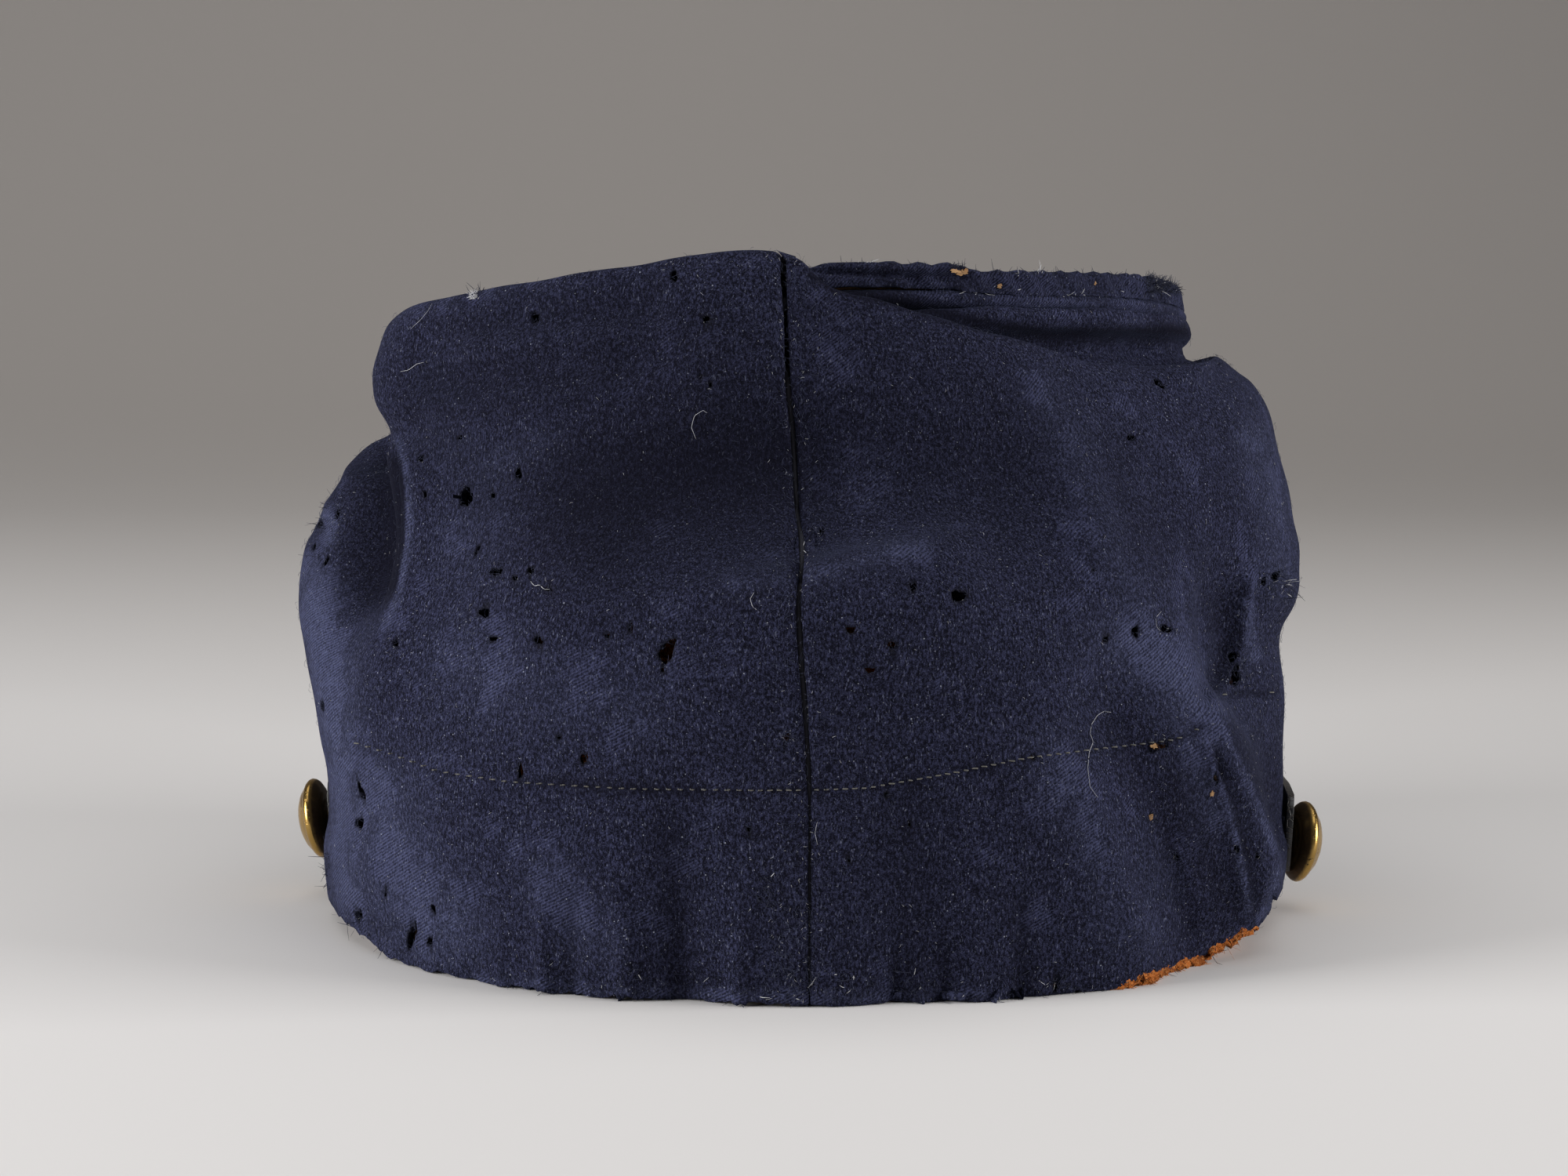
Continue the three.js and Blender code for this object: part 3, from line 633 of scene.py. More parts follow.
# Rubbed and dusty stretches of the wool, some of them painted highlights along lit ridges and fold
# edges: half width in pixels, how strongly they are marked, from 0 to 1, and their lines of photograph
# pixels.
WEAR_AND_HIGHLIGHT_LINES = table("width amount line",
    # Painted highlight on the lit edge of the left crease.
    (7, 0.6, [(508, 560), (518, 610), (522, 660), (519, 700), (508, 760), (490, 800)]),
    (12, 0.8, [(408, 650), (424, 668), (420, 690)]),
    (36, 0.85, [(400, 740), (412, 830), (424, 930), (436, 1060), (450, 1140)]),
    (60, 0.75, [(470, 1020), (500, 1120), (560, 1180)]),
    (60, 0.35, [(600, 850), (700, 890), (800, 900)]),
    (40, 0.5, [(700, 1120), (760, 1200)]),
    # Painted highlight on the lit ridge of the middle crease.
    (14, 0.7, [(1035, 735), (1090, 718), (1180, 698)]),
    (12, 0.5, [(930, 750), (1000, 738)]),
    (30, 0.5, [(1320, 500), (1380, 600), (1420, 700), (1470, 800)]),
    (50, 0.75, [(1440, 820), (1500, 860), (1540, 930)]),
    # Painted highlights on the lit edges of the fold over the band and the fold through the slit.
    (8, 0.8, [(1555, 918), (1570, 952), (1585, 985), (1602, 1020), (1615, 1057), (1627, 1085)]),
    (5, 1.0, [(1547, 980), (1560, 1015), (1572, 1052), (1580, 1090), (1587, 1125), (1592, 1160)]),
    (24, 0.7, [(1500, 900), (1530, 980), (1550, 1040)]),
    (8, 0.7, [(1630, 1110), (1620, 1150), (1606, 1176)]),
    (30, 0.5, [(1600, 560), (1630, 660), (1626, 740)]),
    (12, 0.6, [(1590, 770), (1600, 840)]),
    (34, 0.4, [(1340, 960), (1400, 1080), (1440, 1190)]),
    (40, 0.25, [(560, 560), (620, 600), (600, 700)]),
    (22, 0.4, [(620, 600), (700, 560)]),
    (9, 0.5, [(600, 1250), (800, 1265), (1040, 1275), (1300, 1270)]),
    (14, 0.3, [(500, 400), (600, 372), (700, 350)]))

# Stretches of painted shade, where the wool is darkened to its deep colour over folds, valleys and
# hollows in shade, given in the same way.
PAINTED_SHADE_LINES = table("width amount line",
    (120, 0.8, [(760, 640), (860, 600), (980, 590)]),
    (95, 0.45, [(1060, 560), (1180, 590), (1290, 600)]),
    (60, 0.5, [(540, 500), (640, 490), (780, 470)]),
    (46, 0.42, [(600, 420), (720, 400), (830, 390)]),
    (60, 0.4, [(560, 560), (640, 640), (700, 700)]),
    (60, 0.3, [(1050, 400), (1180, 470), (1320, 540)]),
    (60, 0.4, [(740, 440), (900, 430), (950, 520)]),
    (60, 0.3, [(1410, 600), (1470, 700)]),
    (50, 0.2, [(1560, 560), (1600, 640)]),
    (36, 0.5, [(455, 600), (466, 680), (456, 740)]),
    (20, 0.5, [(1550, 770), (1560, 840), (1545, 880)]),
    (9, 0.4, [(727, 1140), (728, 1264)]),
    (24, 0.45, [(852, 1060), (868, 1272)]),
    (8, 0.5, [(1141, 1210), (1141, 1280)]),
    (46, 0.3, [(1158, 1040), (1170, 1280)]),
    (8, 0.5, [(1206, 1210), (1208, 1280)]),
    (14, 0.5, [(1300, 1150), (1303, 1272)]),
    (22, 0.4, [(1490, 985), (1530, 1070), (1560, 1150)]),
    (18, 0.4, [(1420, 930), (1475, 1040), (1516, 1190)]),
    (20, 0.35, [(1610, 940), (1625, 1000), (1636, 1060)]))

# The hollow under the disc's rolled edge at the right, where shade is painted.
HOLLOW_LINE = [
    (1038, 352), (1060, 364), (1090, 373), (1132, 383), (1176, 393), (1221, 404), (1265, 413),
    (1309, 421), (1340, 426), (1400, 424), (1460, 423), (1512, 421)]

# Small moves of the cloth's outline, in photograph pixels: where, how far to the right and
# down, and how far the move reaches.
OUTLINE_MOVES = table("x y right down reach",
    (995, 342, -8, -20, 60), (1006, 430, -2, 0, 50), (1022, 620, 4, 0, 60), (1024, 706, 7, 0, 36),
    (1019, 790, -2, 0, 50), (940, 340, 0, -19, 60), (880, 342, 0, -12, 60), (800, 346, 0, -7, 60),
    (700, 358, 0, -6, 60), (600, 378, -2, -10, 50), (520, 410, -14, -16, 50), (490, 470, -4, 0, 40),
    (480, 503, 8, 0, 22), (497, 536, 24, 4, 26), (460, 582, 0, 0, 26), (412, 626, 9, 6, 24),
    (392, 662, 13, 2, 26), (386, 706, 2, 0, 26), (1024, 342, 0, -8, 22), (1050, 350, 0, 34, 20),
    (1080, 362, 0, 34, 24), (1125, 370, 0, 27, 30), (1175, 380, 0, 30, 36), (1240, 398, 0, 31, 44),
    (1300, 425, 0, 24, 44), (1370, 445, 0, 20, 40), (1440, 455, 0, 6, 36), (1500, 440, 36, 3, 30),
    (1562, 454, 4, 8, 28), (1620, 505, 4, -4, 40), (1648, 575, -3, 0, 36), (1652, 645, -1, 0, 36),
    (1656, 708, 9, 0, 30), (1642, 762, 18, 0, 28), (1632, 820, 2, 0, 36), (386, 744, -4, 0, 36),
    (402, 800, -17, 0, 50), (416, 870, -26, 0, 50), (422, 920, -14, 0, 50), (422, 1000, 0, 0, 40),
    (426, 1110, -12, 0, 40), (1640, 1000, -2, 0, 50), (1636, 1110, 8, 0, 30))

# The same for the cloth's rolled top edge.
ROLL_MOVES = table("x y right down reach", (1512, 415, 9, -2, 30))

# The cloth's hem at the back, in photograph pixels, and the columns between which it is fitted.
HEM_LINE = [
    (445, 1178), (493, 1222), (545, 1243), (603, 1257), (733, 1272), (900, 1280), (1040, 1284),
    (1200, 1286), (1340, 1283), (1383, 1277), (1410, 1267), (1448, 1251), (1480, 1241), (1516, 1225),
    (1551, 1210), (1576, 1198), (1603, 1186), (1622, 1166), (1634, 1146), (1642, 1126)]
HEM_LEFT = 440
HEM_RIGHT = 1646
TABLE_GAP = 0.15 * MM

# Boxes of photograph pixels with the sharpest folds: left, top, right and bottom.
FINE_BOXES = [(464, 540, 536, 840), (1470, 720, 2000, 1210), (600, 1150, 1340, 1500)]

# Where both seams stand and how far from the middle, and the levels of the hem and the top.
SEAM_X = -0.0027
SEAM_FROM = 0.05
SEAM_DEPTH = 0.42 * MM
HEM_LEVEL = 0.012
TOP_LEVEL = 0.075
# The radius that the cloth's map is laid out with.
MAP_RADIUS = 0.090


def outer_sheet(piece):
    """Leaves only the outer skin of a walled piece, so that it can be worked as a sheet."""
    with mesh_of(piece) as bm:
        bmesh.ops.delete(bm, geom=list(rim_faces(bm)), context="FACES")
        left, skins = set(bm.faces), []
        while left:
            skin, waiting = set(), [next(iter(left))]
            while waiting:
                face = waiting.pop()
                if face not in skin:
                    skin.add(face)
                    waiting += [f for e in face.edges for f in e.link_faces if f not in skin]
            left -= skin
            skins.append(skin)
        if len(skins) != 2:
            raise RuntimeError(f"{piece.name} has {len(skins)} skins, not 2")
        bmesh.ops.delete(bm, geom=list(min(skins, key=mean_reach)), context="FACES")


def rim_faces(bm):
    """The faces that cross a wall at its edges, found from the corners with three edges."""
    corners = [v for v in bm.verts if len(v.link_edges) == 3]
    waiting = [min(v.link_edges, key=lambda e: e.calc_length()) for v in corners]
    crossing, rim = set(), set()
    while waiting:
        edge = waiting.pop()
        if edge in crossing:
            continue
        crossing.add(edge)
        for face in edge.link_faces:
            rim.add(face)
            if len(face.verts) == 4:
                waiting.append(next(e for e in face.edges if not set(e.verts) & set(edge.verts)))
    halves = {face for face in rim if len(face.verts) == 3}
    for face in bm.faces:
        neighbours = {other for edge in face.edges for other in edge.link_faces} - {face}
        if len(neighbours & halves) > 1:
            rim.add(face)
    return rim


def mean_reach(faces):
    """How far some faces are from the body's axis, on average."""
    places = [f.calc_center_median() - BODY_AXIS for f in faces]
    return sum(math.hypot(p.x, p.y) for p in places) / len(places)


def push_out(piece, depth):
    """Moves a piece's vertices along their normals, by millimetres."""
    places = coordinates(piece.data) + normals(piece.data) * (depth * MM)[:, None]
    set_coordinates(piece.data, places)


def move_outline(piece, moves, share=1.0):
    """Moves a piece's vertices as a table of photograph moves says, less towards the front."""
    places = coordinates(piece.data)
    pixels = to_pixels(places)
    total = np.full(len(places), 0.12)
    shift = np.zeros((len(places), 2))
    for move in moves:
        away = np.hypot(pixels[:, 0] - move["x"], pixels[:, 1] - move["y"])
        weight = bell(away, move["reach"])
        total += weight
        shift += weight[:, None] * np.array([move["right"], -move["down"]])
    shift *= (smooth(0.03, -0.01, places[:, 1]) / total * share)[:, None] * PIXEL
    set_coordinates(piece.data, places + shift[:, :1] * np.array(CAMERA_RIGHT)
                    + shift[:, 1:] * np.array(CAMERA_UP))


def rim_places(piece, chosen):
    """The places on a piece's open edge that a test picks."""
    bm = bmesh.new()
    bm.from_mesh(piece.data)
    places = [v.co.copy() for v in bm.verts if v.is_boundary and chosen(v.co)]
    bm.free()
    return places


def rim_distance(piece, chosen):
    """How far each vertex is from the open edge where a test picks it, in millimetres."""
    rim = rim_places(piece, chosen)
    tree = KDTree(len(rim))
    for i, place in enumerate(rim):
        tree.insert(place, i)
    tree.balance()
    return np.array([tree.find(v.co)[2] for v in piece.data.vertices]) / MM


def refine(piece, chosen, cuts):
    """Cuts the faces that a test picks into smaller ones."""
    with mesh_of(piece) as bm:
        middles = np.array([f.calc_center_median()[:] for f in bm.faces])
        picked = chosen(middles, to_pixels(middles))
        edges = {e for face, yes in zip(bm.faces, picked) if yes for e in face.edges}
        bmesh.ops.subdivide_edges(bm, edges=list(edges), cuts=cuts, use_grid_fill=True)


def beside_seam(middles, pixels):
    return (np.abs(middles[:, 0] - SEAM_X) < 0.0045) & (np.abs(middles[:, 1]) > SEAM_FROM)


def near_crease(middles, pixels):
    """The left crease, the lower right folds and the hem's puckers, at the back."""
    x, y = pixels[:, 0], pixels[:, 1]
    boxed = [(left < x) & (x < right) & (top < y) & (y < bottom)
             for left, top, right, bottom in FINE_BOXES]
    return np.any(boxed, axis=0) & (middles[:, 1] < -0.02)


def on_seam(place):
    return abs(place.x - SEAM_X) < 0.005 and abs(place.y) > SEAM_FROM


def on_top(place):
    return place.z > TOP_LEVEL and not (on_seam(place) and place.z < 0.08)


def roll_edges(piece):
    """Rolls the cloth inwards along the seams and gives its top edge the roll under the welt."""
    places = coordinates(piece.data)
    seam = rim_distance(piece, on_seam)
    top = rim_distance(piece, on_top)
    side = smooth(0.002, 0.02, places[:, 0]) * smooth(0.03, -0.01, places[:, 1])
    push_out(piece, -0.5 * bell(seam, 0.22) + 0.13 * bell(seam - 1.6, 0.9)
             + side * (1.8 * bell(top - 2.2, 1.6) - 1.6 * bell(top - 6.8, 1.9)))
    # Marks the band under the top roll where shade is painted later.
    set_attribute(piece.data, "hollow", side * smooth(2.8, 4.2, top) * smooth(13.0, 10.5, top))


def fit_hem(piece):
    """Brings a side's lower edge at the back to HEM_LINE, over the table."""
    places = coordinates(piece.data)
    pixels = to_pixels(places)
    low = np.nonzero((places[:, 2] < HEM_LEVEL) & (places[:, 1] < -0.005))[0]
    known, hem, height = [], [], []
    for column in np.arange(HEM_LEFT, HEM_RIGHT, 4.0):
        near = low[np.abs(pixels[low, 0] - column) < 6]
        if len(near):
            lowest = near[np.argmin(places[near, 2])]
            known.append(column)
            hem.append(pixels[lowest, 1])
            height.append(places[lowest, 2])
    drop = np.interp(pixels[:, 0], *np.transpose(HEM_LINE)) - np.interp(pixels[:, 0], known, hem)
    over = places[:, 2] - np.interp(pixels[:, 0], known, height)
    inside = smooth(HEM_LEFT, HEM_LEFT + 40, pixels[:, 0]) * smooth(0.004, -0.012, places[:, 1])
    places[:, 2] -= drop * PIXEL * inside * smooth(0.013, 0.0, over)
    places[:, 2] = np.maximum(places[:, 2], TABLE_GAP)
    set_coordinates(piece.data, places)


def beside(fold, pixels):
    """How far past a step fold's line each pixel is in millimetres, how much it is to the right
    of it, and how much it is within the line's height."""
    line = np.array(fold["line"], float)
    past = (pixels[:, 0] - np.interp(pixels[:, 1], line[:, 1], line[:, 0])) * PIXEL / MM
    kept = smooth(line[0, 1] - 6, line[0, 1] + 40, pixels[:, 1]) * smooth(
        line[-1, 1] + 12, line[-1, 1] - 40, pixels[:, 1])
    return past, smooth(-0.32, 0.32, past), kept


def stitch_distance(pixels):
    """How far each pixel is from the nearest line of stitches."""
    return np.min([line_distance(pixels, row["line"])[0] for row in BAND_STITCHES], axis=0)


def sculpt_folds(piece):
    """Presses the narrow folds, the step folds and the stitches' groove into a sheet."""
    places = coordinates(piece.data)
    pixels = to_pixels(places)
    depth = np.zeros(len(places))
    for fold in FOLD_LINES:
        away, share = line_distance(pixels, fold["line"])
        amount = fold["start"] + (fold["end"] - fold["start"]) * share
        depth += amount * bell(away * PIXEL / MM, fold["width"])
    for fold in STEP_FOLDS:
        past, over, kept = beside(fold, pixels)
        depth += kept * (over * fold["right"] * bell(past, fold["reach_right"])
                         + (1 - over) * fold["left"] * bell(past, fold["reach_left"]))
    depth -= 0.35 * bell(stitch_distance(pixels) * PIXEL / MM, 0.9)
    depth *= smooth(0.05, 0.35, facing(normals(piece.data)))
    for i, place in enumerate(places):
        depth[i] += 0.55 * noise.noise(Vector(place) * 42) + 0.28 * noise.noise(Vector(place) * 110)
    deepest = -3.0 + 2.1 * smooth(0.042, 0.034, places[:, 2])
    push_out(piece, np.maximum(depth, deepest))


def outline_value(hole, pixels):
    """1 on a hole's ragged outline, less inside it and more outside."""
    turn = math.radians(hole["turn"])
    away = pixels - np.array([hole["x"], hole["y"]])
    across = (away[:, 0] * math.cos(turn) + away[:, 1] * math.sin(turn)) / (hole["wide"] / 2)
    along = (-away[:, 0] * math.sin(turn) + away[:, 1] * math.cos(turn)) / (hole["high"] / 2)
    angle = np.arctan2(along, across)
    ragged = np.ones(len(pixels))
    for waves, depth in ((2, 0.12), (3, 0.14), (5, 0.10), (8, 0.07)):
        phase = hole["x"] * 0.37 + hole["y"] * 0.91 + waves
        ragged += depth * np.sin(waves * angle + phase)
    return np.hypot(across, along) / ragged


HOLE_MARGIN = 7.0
HOLE_DEPTH = 9 * MM


def seen_near(bm, middles, centre):
    """The numbers of the faces that lie near a place and face the camera."""
    near = np.nonzero(np.linalg.norm(middles - np.array(centre), axis=1) < HOLE_DEPTH)[0]
    return [i for i in near if bm.faces[i].normal.dot(CAMERA_BACK) > 0.04]


def face_middles(bm):
    bm.faces.ensure_lookup_table()
    return np.array([f.calc_center_median()[:] for f in bm.faces])


def cut_holes(piece):
    """Cuts the moth holes out of a sheet, on a finer mesh around each."""
    surface = tree_of(piece)
    hits = [(hole, shown_at(surface, (hole["x"], hole["y"]))[0]) for hole in HOLES]
    found = [(hole, centre) for hole, centre in hits if centre is not None]
    with mesh_of(piece) as bm:
        layer = bm.verts.layers.float.new("torn")
        middles = face_middles(bm)
        pixels = to_pixels(middles)
        edges = set()
        for hole, centre in found:
            reach = max(hole["wide"], hole["high"]) / 2 + HOLE_MARGIN
            away = np.hypot(pixels[:, 0] - hole["x"], pixels[:, 1] - hole["y"])
            for i in seen_near(bm, middles, centre):
                if away[i] < reach:
                    edges |= set(bm.faces[i].edges)
        bmesh.ops.subdivide_edges(bm, edges=list(edges), cuts=2, use_grid_fill=True)
        middles = face_middles(bm)
        rims, doomed = [], set()
        for hole, centre in found:
            near = seen_near(bm, middles, centre)
            if not near:
                continue
            values = outline_value(hole, to_pixels(middles[near]))
            inside = [i for i, v in zip(near, values) if v < 0.95] or [near[np.argmin(values)]]
            faces = {bm.faces[i] for i in inside}
            doomed |= faces
            rims.append((hole, {v for f in faces for v in f.verts}))
        bmesh.ops.delete(bm, geom=list(doomed), context="FACES")
        torn = {}
        for hole, verts in rims:
            for v in verts:
                if v.is_valid and v.is_boundary:
                    pull_to_outline(v, hole)
                    torn[v] = hole
        for v in torn:
            v[layer] = 1.0
        return [tuple(v.co) for v in torn]


def pull_to_outline(v, hole):
    """Moves a vertex on a hole's rim to the hole's outline, and turns the edge in a little."""
    pixel = to_pixels(v.co)
    value = outline_value(hole, pixel)[0]
    centre = np.array([hole["x"], hole["y"]])
    way = pixel_ray(*(centre + (pixel[0] - centre) * np.clip(1 / max(value, 0.3), 0.6, 1.5)))
    normal = v.normal if v.normal.length > 0 else CAMERA_BACK
    across = way.dot(normal)
    if abs(across) > 0.15:
        moved = CAMERA_PLACE + way * ((v.co - CAMERA_PLACE).dot(normal) / across)
        if (moved - v.co).length < 1.2 * MM:
            v.co = moved - normal * 0.25 * MM


def roughen_hem(piece):
    """Makes the hem of a sheet uneven, and keeps it off the table."""
    with mesh_of(piece) as bm:
        for v in bm.verts:
            if v.is_boundary and v.co.z < 0.014:
                jag = noise.noise(v.co * 260) * 1.0 + noise.noise(v.co * 900) * 0.8
                v.co.z = max(v.co.z + jag * MM * 1.1, TABLE_GAP)
                out = Vector((v.co.x, v.co.y - BODY_AXIS.y, 0)).normalized()
                v.co += out * jag * 0.5 * MM


def map_cloth(piece):
    """Lays a map on the cloth in metres: round the body and up it."""
    places = coordinates(piece.data)
    around = np.arctan2(places[:, 0] - BODY_AXIS.x, BODY_AXIS.y - places[:, 1]) * MAP_RADIUS
    layer = piece.data.uv_layers.new(name="Cloth")
    index = np.empty(len(piece.data.loops), np.int32)
    piece.data.loops.foreach_get("vertex_index", index)
    flat = np.stack([around[index], places[index, 2]], axis=1)
    layer.data.foreach_set("uv", flat.ravel())


def marked(stretches, pixels):
    """How strongly a table of lines marks each pixel, from 0 to 1."""
    return np.max([row["amount"] * bell(line_distance(pixels, row["line"])[0], row["width"])
                   for row in stretches], axis=0)


def mark_wear_and_painted_light(piece):
    """Marks where the wool is rubbed, with painted highlights along lit ridges, and paints shade in its
    folds, beside its step folds, in the hollow under the disc's roll and round its stitches.
    """
    places = coordinates(piece.data)
    pixels = to_pixels(places)
    seen = smooth(0.0, 0.25, facing(normals(piece.data)))
    back = smooth(0.03, 0.0, places[:, 1])
    # Painted shade along the shaded stretches and in the stitches' groove.
    painted_shade_and_tone = np.maximum(marked(PAINTED_SHADE_LINES, pixels), 0.8 * bell(stitch_distance(pixels), 4.0)) * seen
    # Painted shade on the low side of each step fold.
    for fold in STEP_FOLDS:
        past, _, kept = beside(fold, pixels)
        low = smooth(-0.1, 0.2, past) if fold["right"] < fold["left"] else smooth(0.75, 0.25, past)
        painted_shade_and_tone = np.maximum(painted_shade_and_tone, fold["dark"] * kept * low * bell(past, fold["dark_reach"]) * back)
    # Painted shade in the hollow under the disc's roll.
    hollow = np.empty(len(places), np.float32)
    piece.data.attributes["hollow"].data.foreach_get("value", hollow)
    away, _ = line_distance(pixels, HOLLOW_LINE)
    painted_shade_and_tone = np.maximum(painted_shade_and_tone, np.maximum(hollow * bell(away, 15.0), bell(away, 9.0)) * back)
    hidden = 0.35 * smooth(HEM_LEVEL, 0.0, places[:, 2]) + 0.12
    # The rubbed marks include painted highlights along lit ridges and fold edges.
    rubbed = marked(WEAR_AND_HIGHLIGHT_LINES, pixels) * seen + hidden * (1 - seen)
    set_attribute(piece.data, "rubbed", rubbed)
    set_attribute(piece.data, "painted_shade_and_tone", painted_shade_and_tone)


class Stock:
    """What one operator leaves for the next."""
    surface = None
    hem = []
    seams = []
    torn = []


class CAP_OT_body(bpy.types.Operator):
    """Makes the two sides of the wool body, with their folds and moth holes"""
    bl_idname = "cap.body"
    bl_label = "Wool body"

    def execute(self, context):
        material = wool("Dark blue wool")
        sides = {"left_panel": self.side("left_panel", "left_side"),
                 "right_panel": self.side("right_panel", "right_side")}
        Stock.surface = tree_of(*sides.values())
        Stock.seams = self.seam_lines(*sides.values())
        for node, piece in sides.items():
            Stock.torn += cut_holes(piece)
            roughen_hem(piece)
            map_cloth(piece)
            mark_wear_and_painted_light(piece)
            modify(piece, "SOLIDIFY", thickness=context.scene.cap_cloth.thickness, offset=-1.0,
                   use_rim=True)
            shade(piece, 60)
            finish(piece, material, "navy_cloth", node)
        Stock.hem = self.lowest_along(coordinates(sides["right_panel"].data))
        return {"FINISHED"}

    @staticmethod
    def side(node, name):
        """One side as a sheet with its folds, before its holes are cut."""
        piece = node_copy(node, name)
        outer_sheet(piece)
        subdivide(piece, 2)
        refine(piece, beside_seam, 2)
        refine(piece, near_crease, 1)
        top = rim_distance(piece, on_top)
        rolled = smooth(0.003, 0.010, coordinates(piece.data)[:, 0]) * smooth(5.5, 2.5, top)
        move_outline(piece, OUTLINE_MOVES, 1 - rolled)
        move_outline(piece, ROLL_MOVES, rolled)
        roll_edges(piece)
        sculpt_folds(piece)
        fit_hem(piece)
        return piece

    @staticmethod
    def lowest_along(places):
        """The hem's outer foot at every few photograph pixels from left to right."""
        places = places[(places[:, 2] < HEM_LEVEL) & (places[:, 1] < -0.02)]
        pixels = to_pixels(places)
        found = []
        for column in np.arange(1396, 1640, 3.0):
            near = np.nonzero(np.abs(pixels[:, 0] - column) < 3.5)[0]
            if len(near):
                found.append((column, places[near[np.argmax(pixels[near, 1])]]))
        return found

    @staticmethod
    def seam_lines(left, right):
        """The lines halfway between the two sides' edges, a little inside the cloth."""
        lines = []
        for side in (-1, 1):
            near = [p for p in rim_places(left, on_seam) if p.y * side > 0]
            far = [p for p in rim_places(right, on_seam) if p.y * side > 0]
            middles = [(p + min(far, key=lambda q: (q - p).length)) / 2
                       for p in sorted(near, key=lambda p: p.z)]
            lines.append([p - Vector((0, side, 0)) * SEAM_DEPTH for p in middles[::3]])
        return lines


# Threads

class Threads:
    """Thin round threads gathered into one mesh."""

    def __init__(self, sides):
        self.sides = sides
        self.corners = []
        self.faces = []

    def add(self, line, radius, taper=0.6):
        """One thread along a line of places, thinner towards its ends."""
        line = [Vector(p) for p in line]
        start = len(self.corners)
        last = len(line) - 1
        for i, place in enumerate(line):
            way = (line[min(i + 1, last)] - line[max(i - 1, 0)]).normalized()
            side = way.orthogonal().normalized()
            other = way.cross(side)
            width = radius * (1 - taper * abs(2 * i / last - 1) ** 2)
            for k in range(self.sides):
                turn = 2 * math.pi * k / self.sides
                out = side * math.cos(turn) + other * math.sin(turn)
                self.corners.append(place + out * width)
        for i in range(last):
            ring = start + i * self.sides
            for k in range(self.sides):
                a, b = ring + k, ring + (k + 1) % self.sides
                self.faces.append((a, b, b + self.sides, a + self.sides))
        self.faces.append(tuple(start + k for k in reversed(range(self.sides))))
        self.faces.append(tuple(start + last * self.sides + k for k in range(self.sides)))

    def piece(self, name, material, slot):
        piece = mesh_piece(name, self.corners, self.faces)
        piece.data.shade_smooth()
        finish(piece, material, slot)


def along(line, pitch):
    """Pixels at an even pitch along a polyline."""
    line = [Vector(p) for p in line]
    out, left = [], 0.0
    for a, b in zip(line[:-1], line[1:]):
        length = (b - a).length
        while left < length:
            out.append(a.lerp(b, left / length))
            left += pitch
        left -= length
    return out


STITCH_LENGTH = 8.0
# How a stitch lies from end to end: shares of its half length, and millimetres over the cloth.
BACK_STITCH = ((-1, -0.25), (-0.6, 0.10), (0, 0.18), (0.6, 0.10), (1, -0.25))
FRONT_STITCH = ((-1, -0.25), (-0.6, 0.16), (0, 0.26), (0.6, 0.16), (1, -0.25))
# The stitches round the front: how many, and their turns about the body's axis in degrees.
FRONT_STITCHES = 96
FRONT_START = 97
FRONT_STEP = 1.72
FRONT_HALF = 0.5


class CAP_OT_stitches(bpy.types.Operator):
    """Sews the line of stitches round the top of the band"""
    bl_idname = "cap.stitches"
    bl_label = "Band stitches"

    def execute(self, context):
        chance = random.Random(11)
        threads = Threads(6)
        for pixel in [p for row in BAND_STITCHES for p in along(row["line"], row["pitch"])]:
            if chance.random() < smooth(1440, 1540, pixel.x) * 0.5:
                continue
            half = STITCH_LENGTH / 2 * chance.uniform(0.75, 1.15)
            slope = chance.uniform(-0.12, 0.12)
            line = []
            for share, height in BACK_STITCH:
                at = (pixel.x + share * half, pixel.y + share * half * slope)
                place, normal = shown_at(Stock.surface, at)
                if place is not None and normal.dot(CAMERA_BACK) > 0.1:
                    line.append(place + normal * height * MM)
            if len(line) == len(BACK_STITCH) and (line[-1] - line[0]).length < 4 * MM:
                threads.add(line, 0.15 * MM, taper=0.3)
        for i in range(FRONT_STITCHES):
            line = self.front_stitch(math.radians(FRONT_START + i * FRONT_STEP))
            if len(line) == len(FRONT_STITCH):
                threads.add(line, 0.21 * MM, taper=0.25)
        threads.piece("band_stitches", thread("Band thread", (0.13, 0.125, 0.115)), "navy_cloth")
        seams = Threads(8)
        for line in Stock.seams:
            seams.add(line, 0.7 * MM, taper=0.0)
        seams.piece("seam_allowance", thread("Seam wool", (0.011, 0.011, 0.018)), "navy_cloth")
        return {"FINISHED"}

    @staticmethod
    def front_stitch(around):
        """One stitch at a turn about the body's axis, on a line that rises towards the front."""
        lift = 0.0385 + 0.011 * max(0.0, 0.5 - math.cos(around) * 0.5)
        line = []
        for share, height in FRONT_STITCH:
            turn = around + share * math.radians(FRONT_HALF)
            way = Vector((math.sin(turn), -math.cos(turn), 0))
            place, normal, _, _ = Stock.surface.ray_cast(BODY_AXIS + way * 0.2 + UP * lift, -way)
            if place is not None:
                line.append(place + normal * height * MM)
        return line


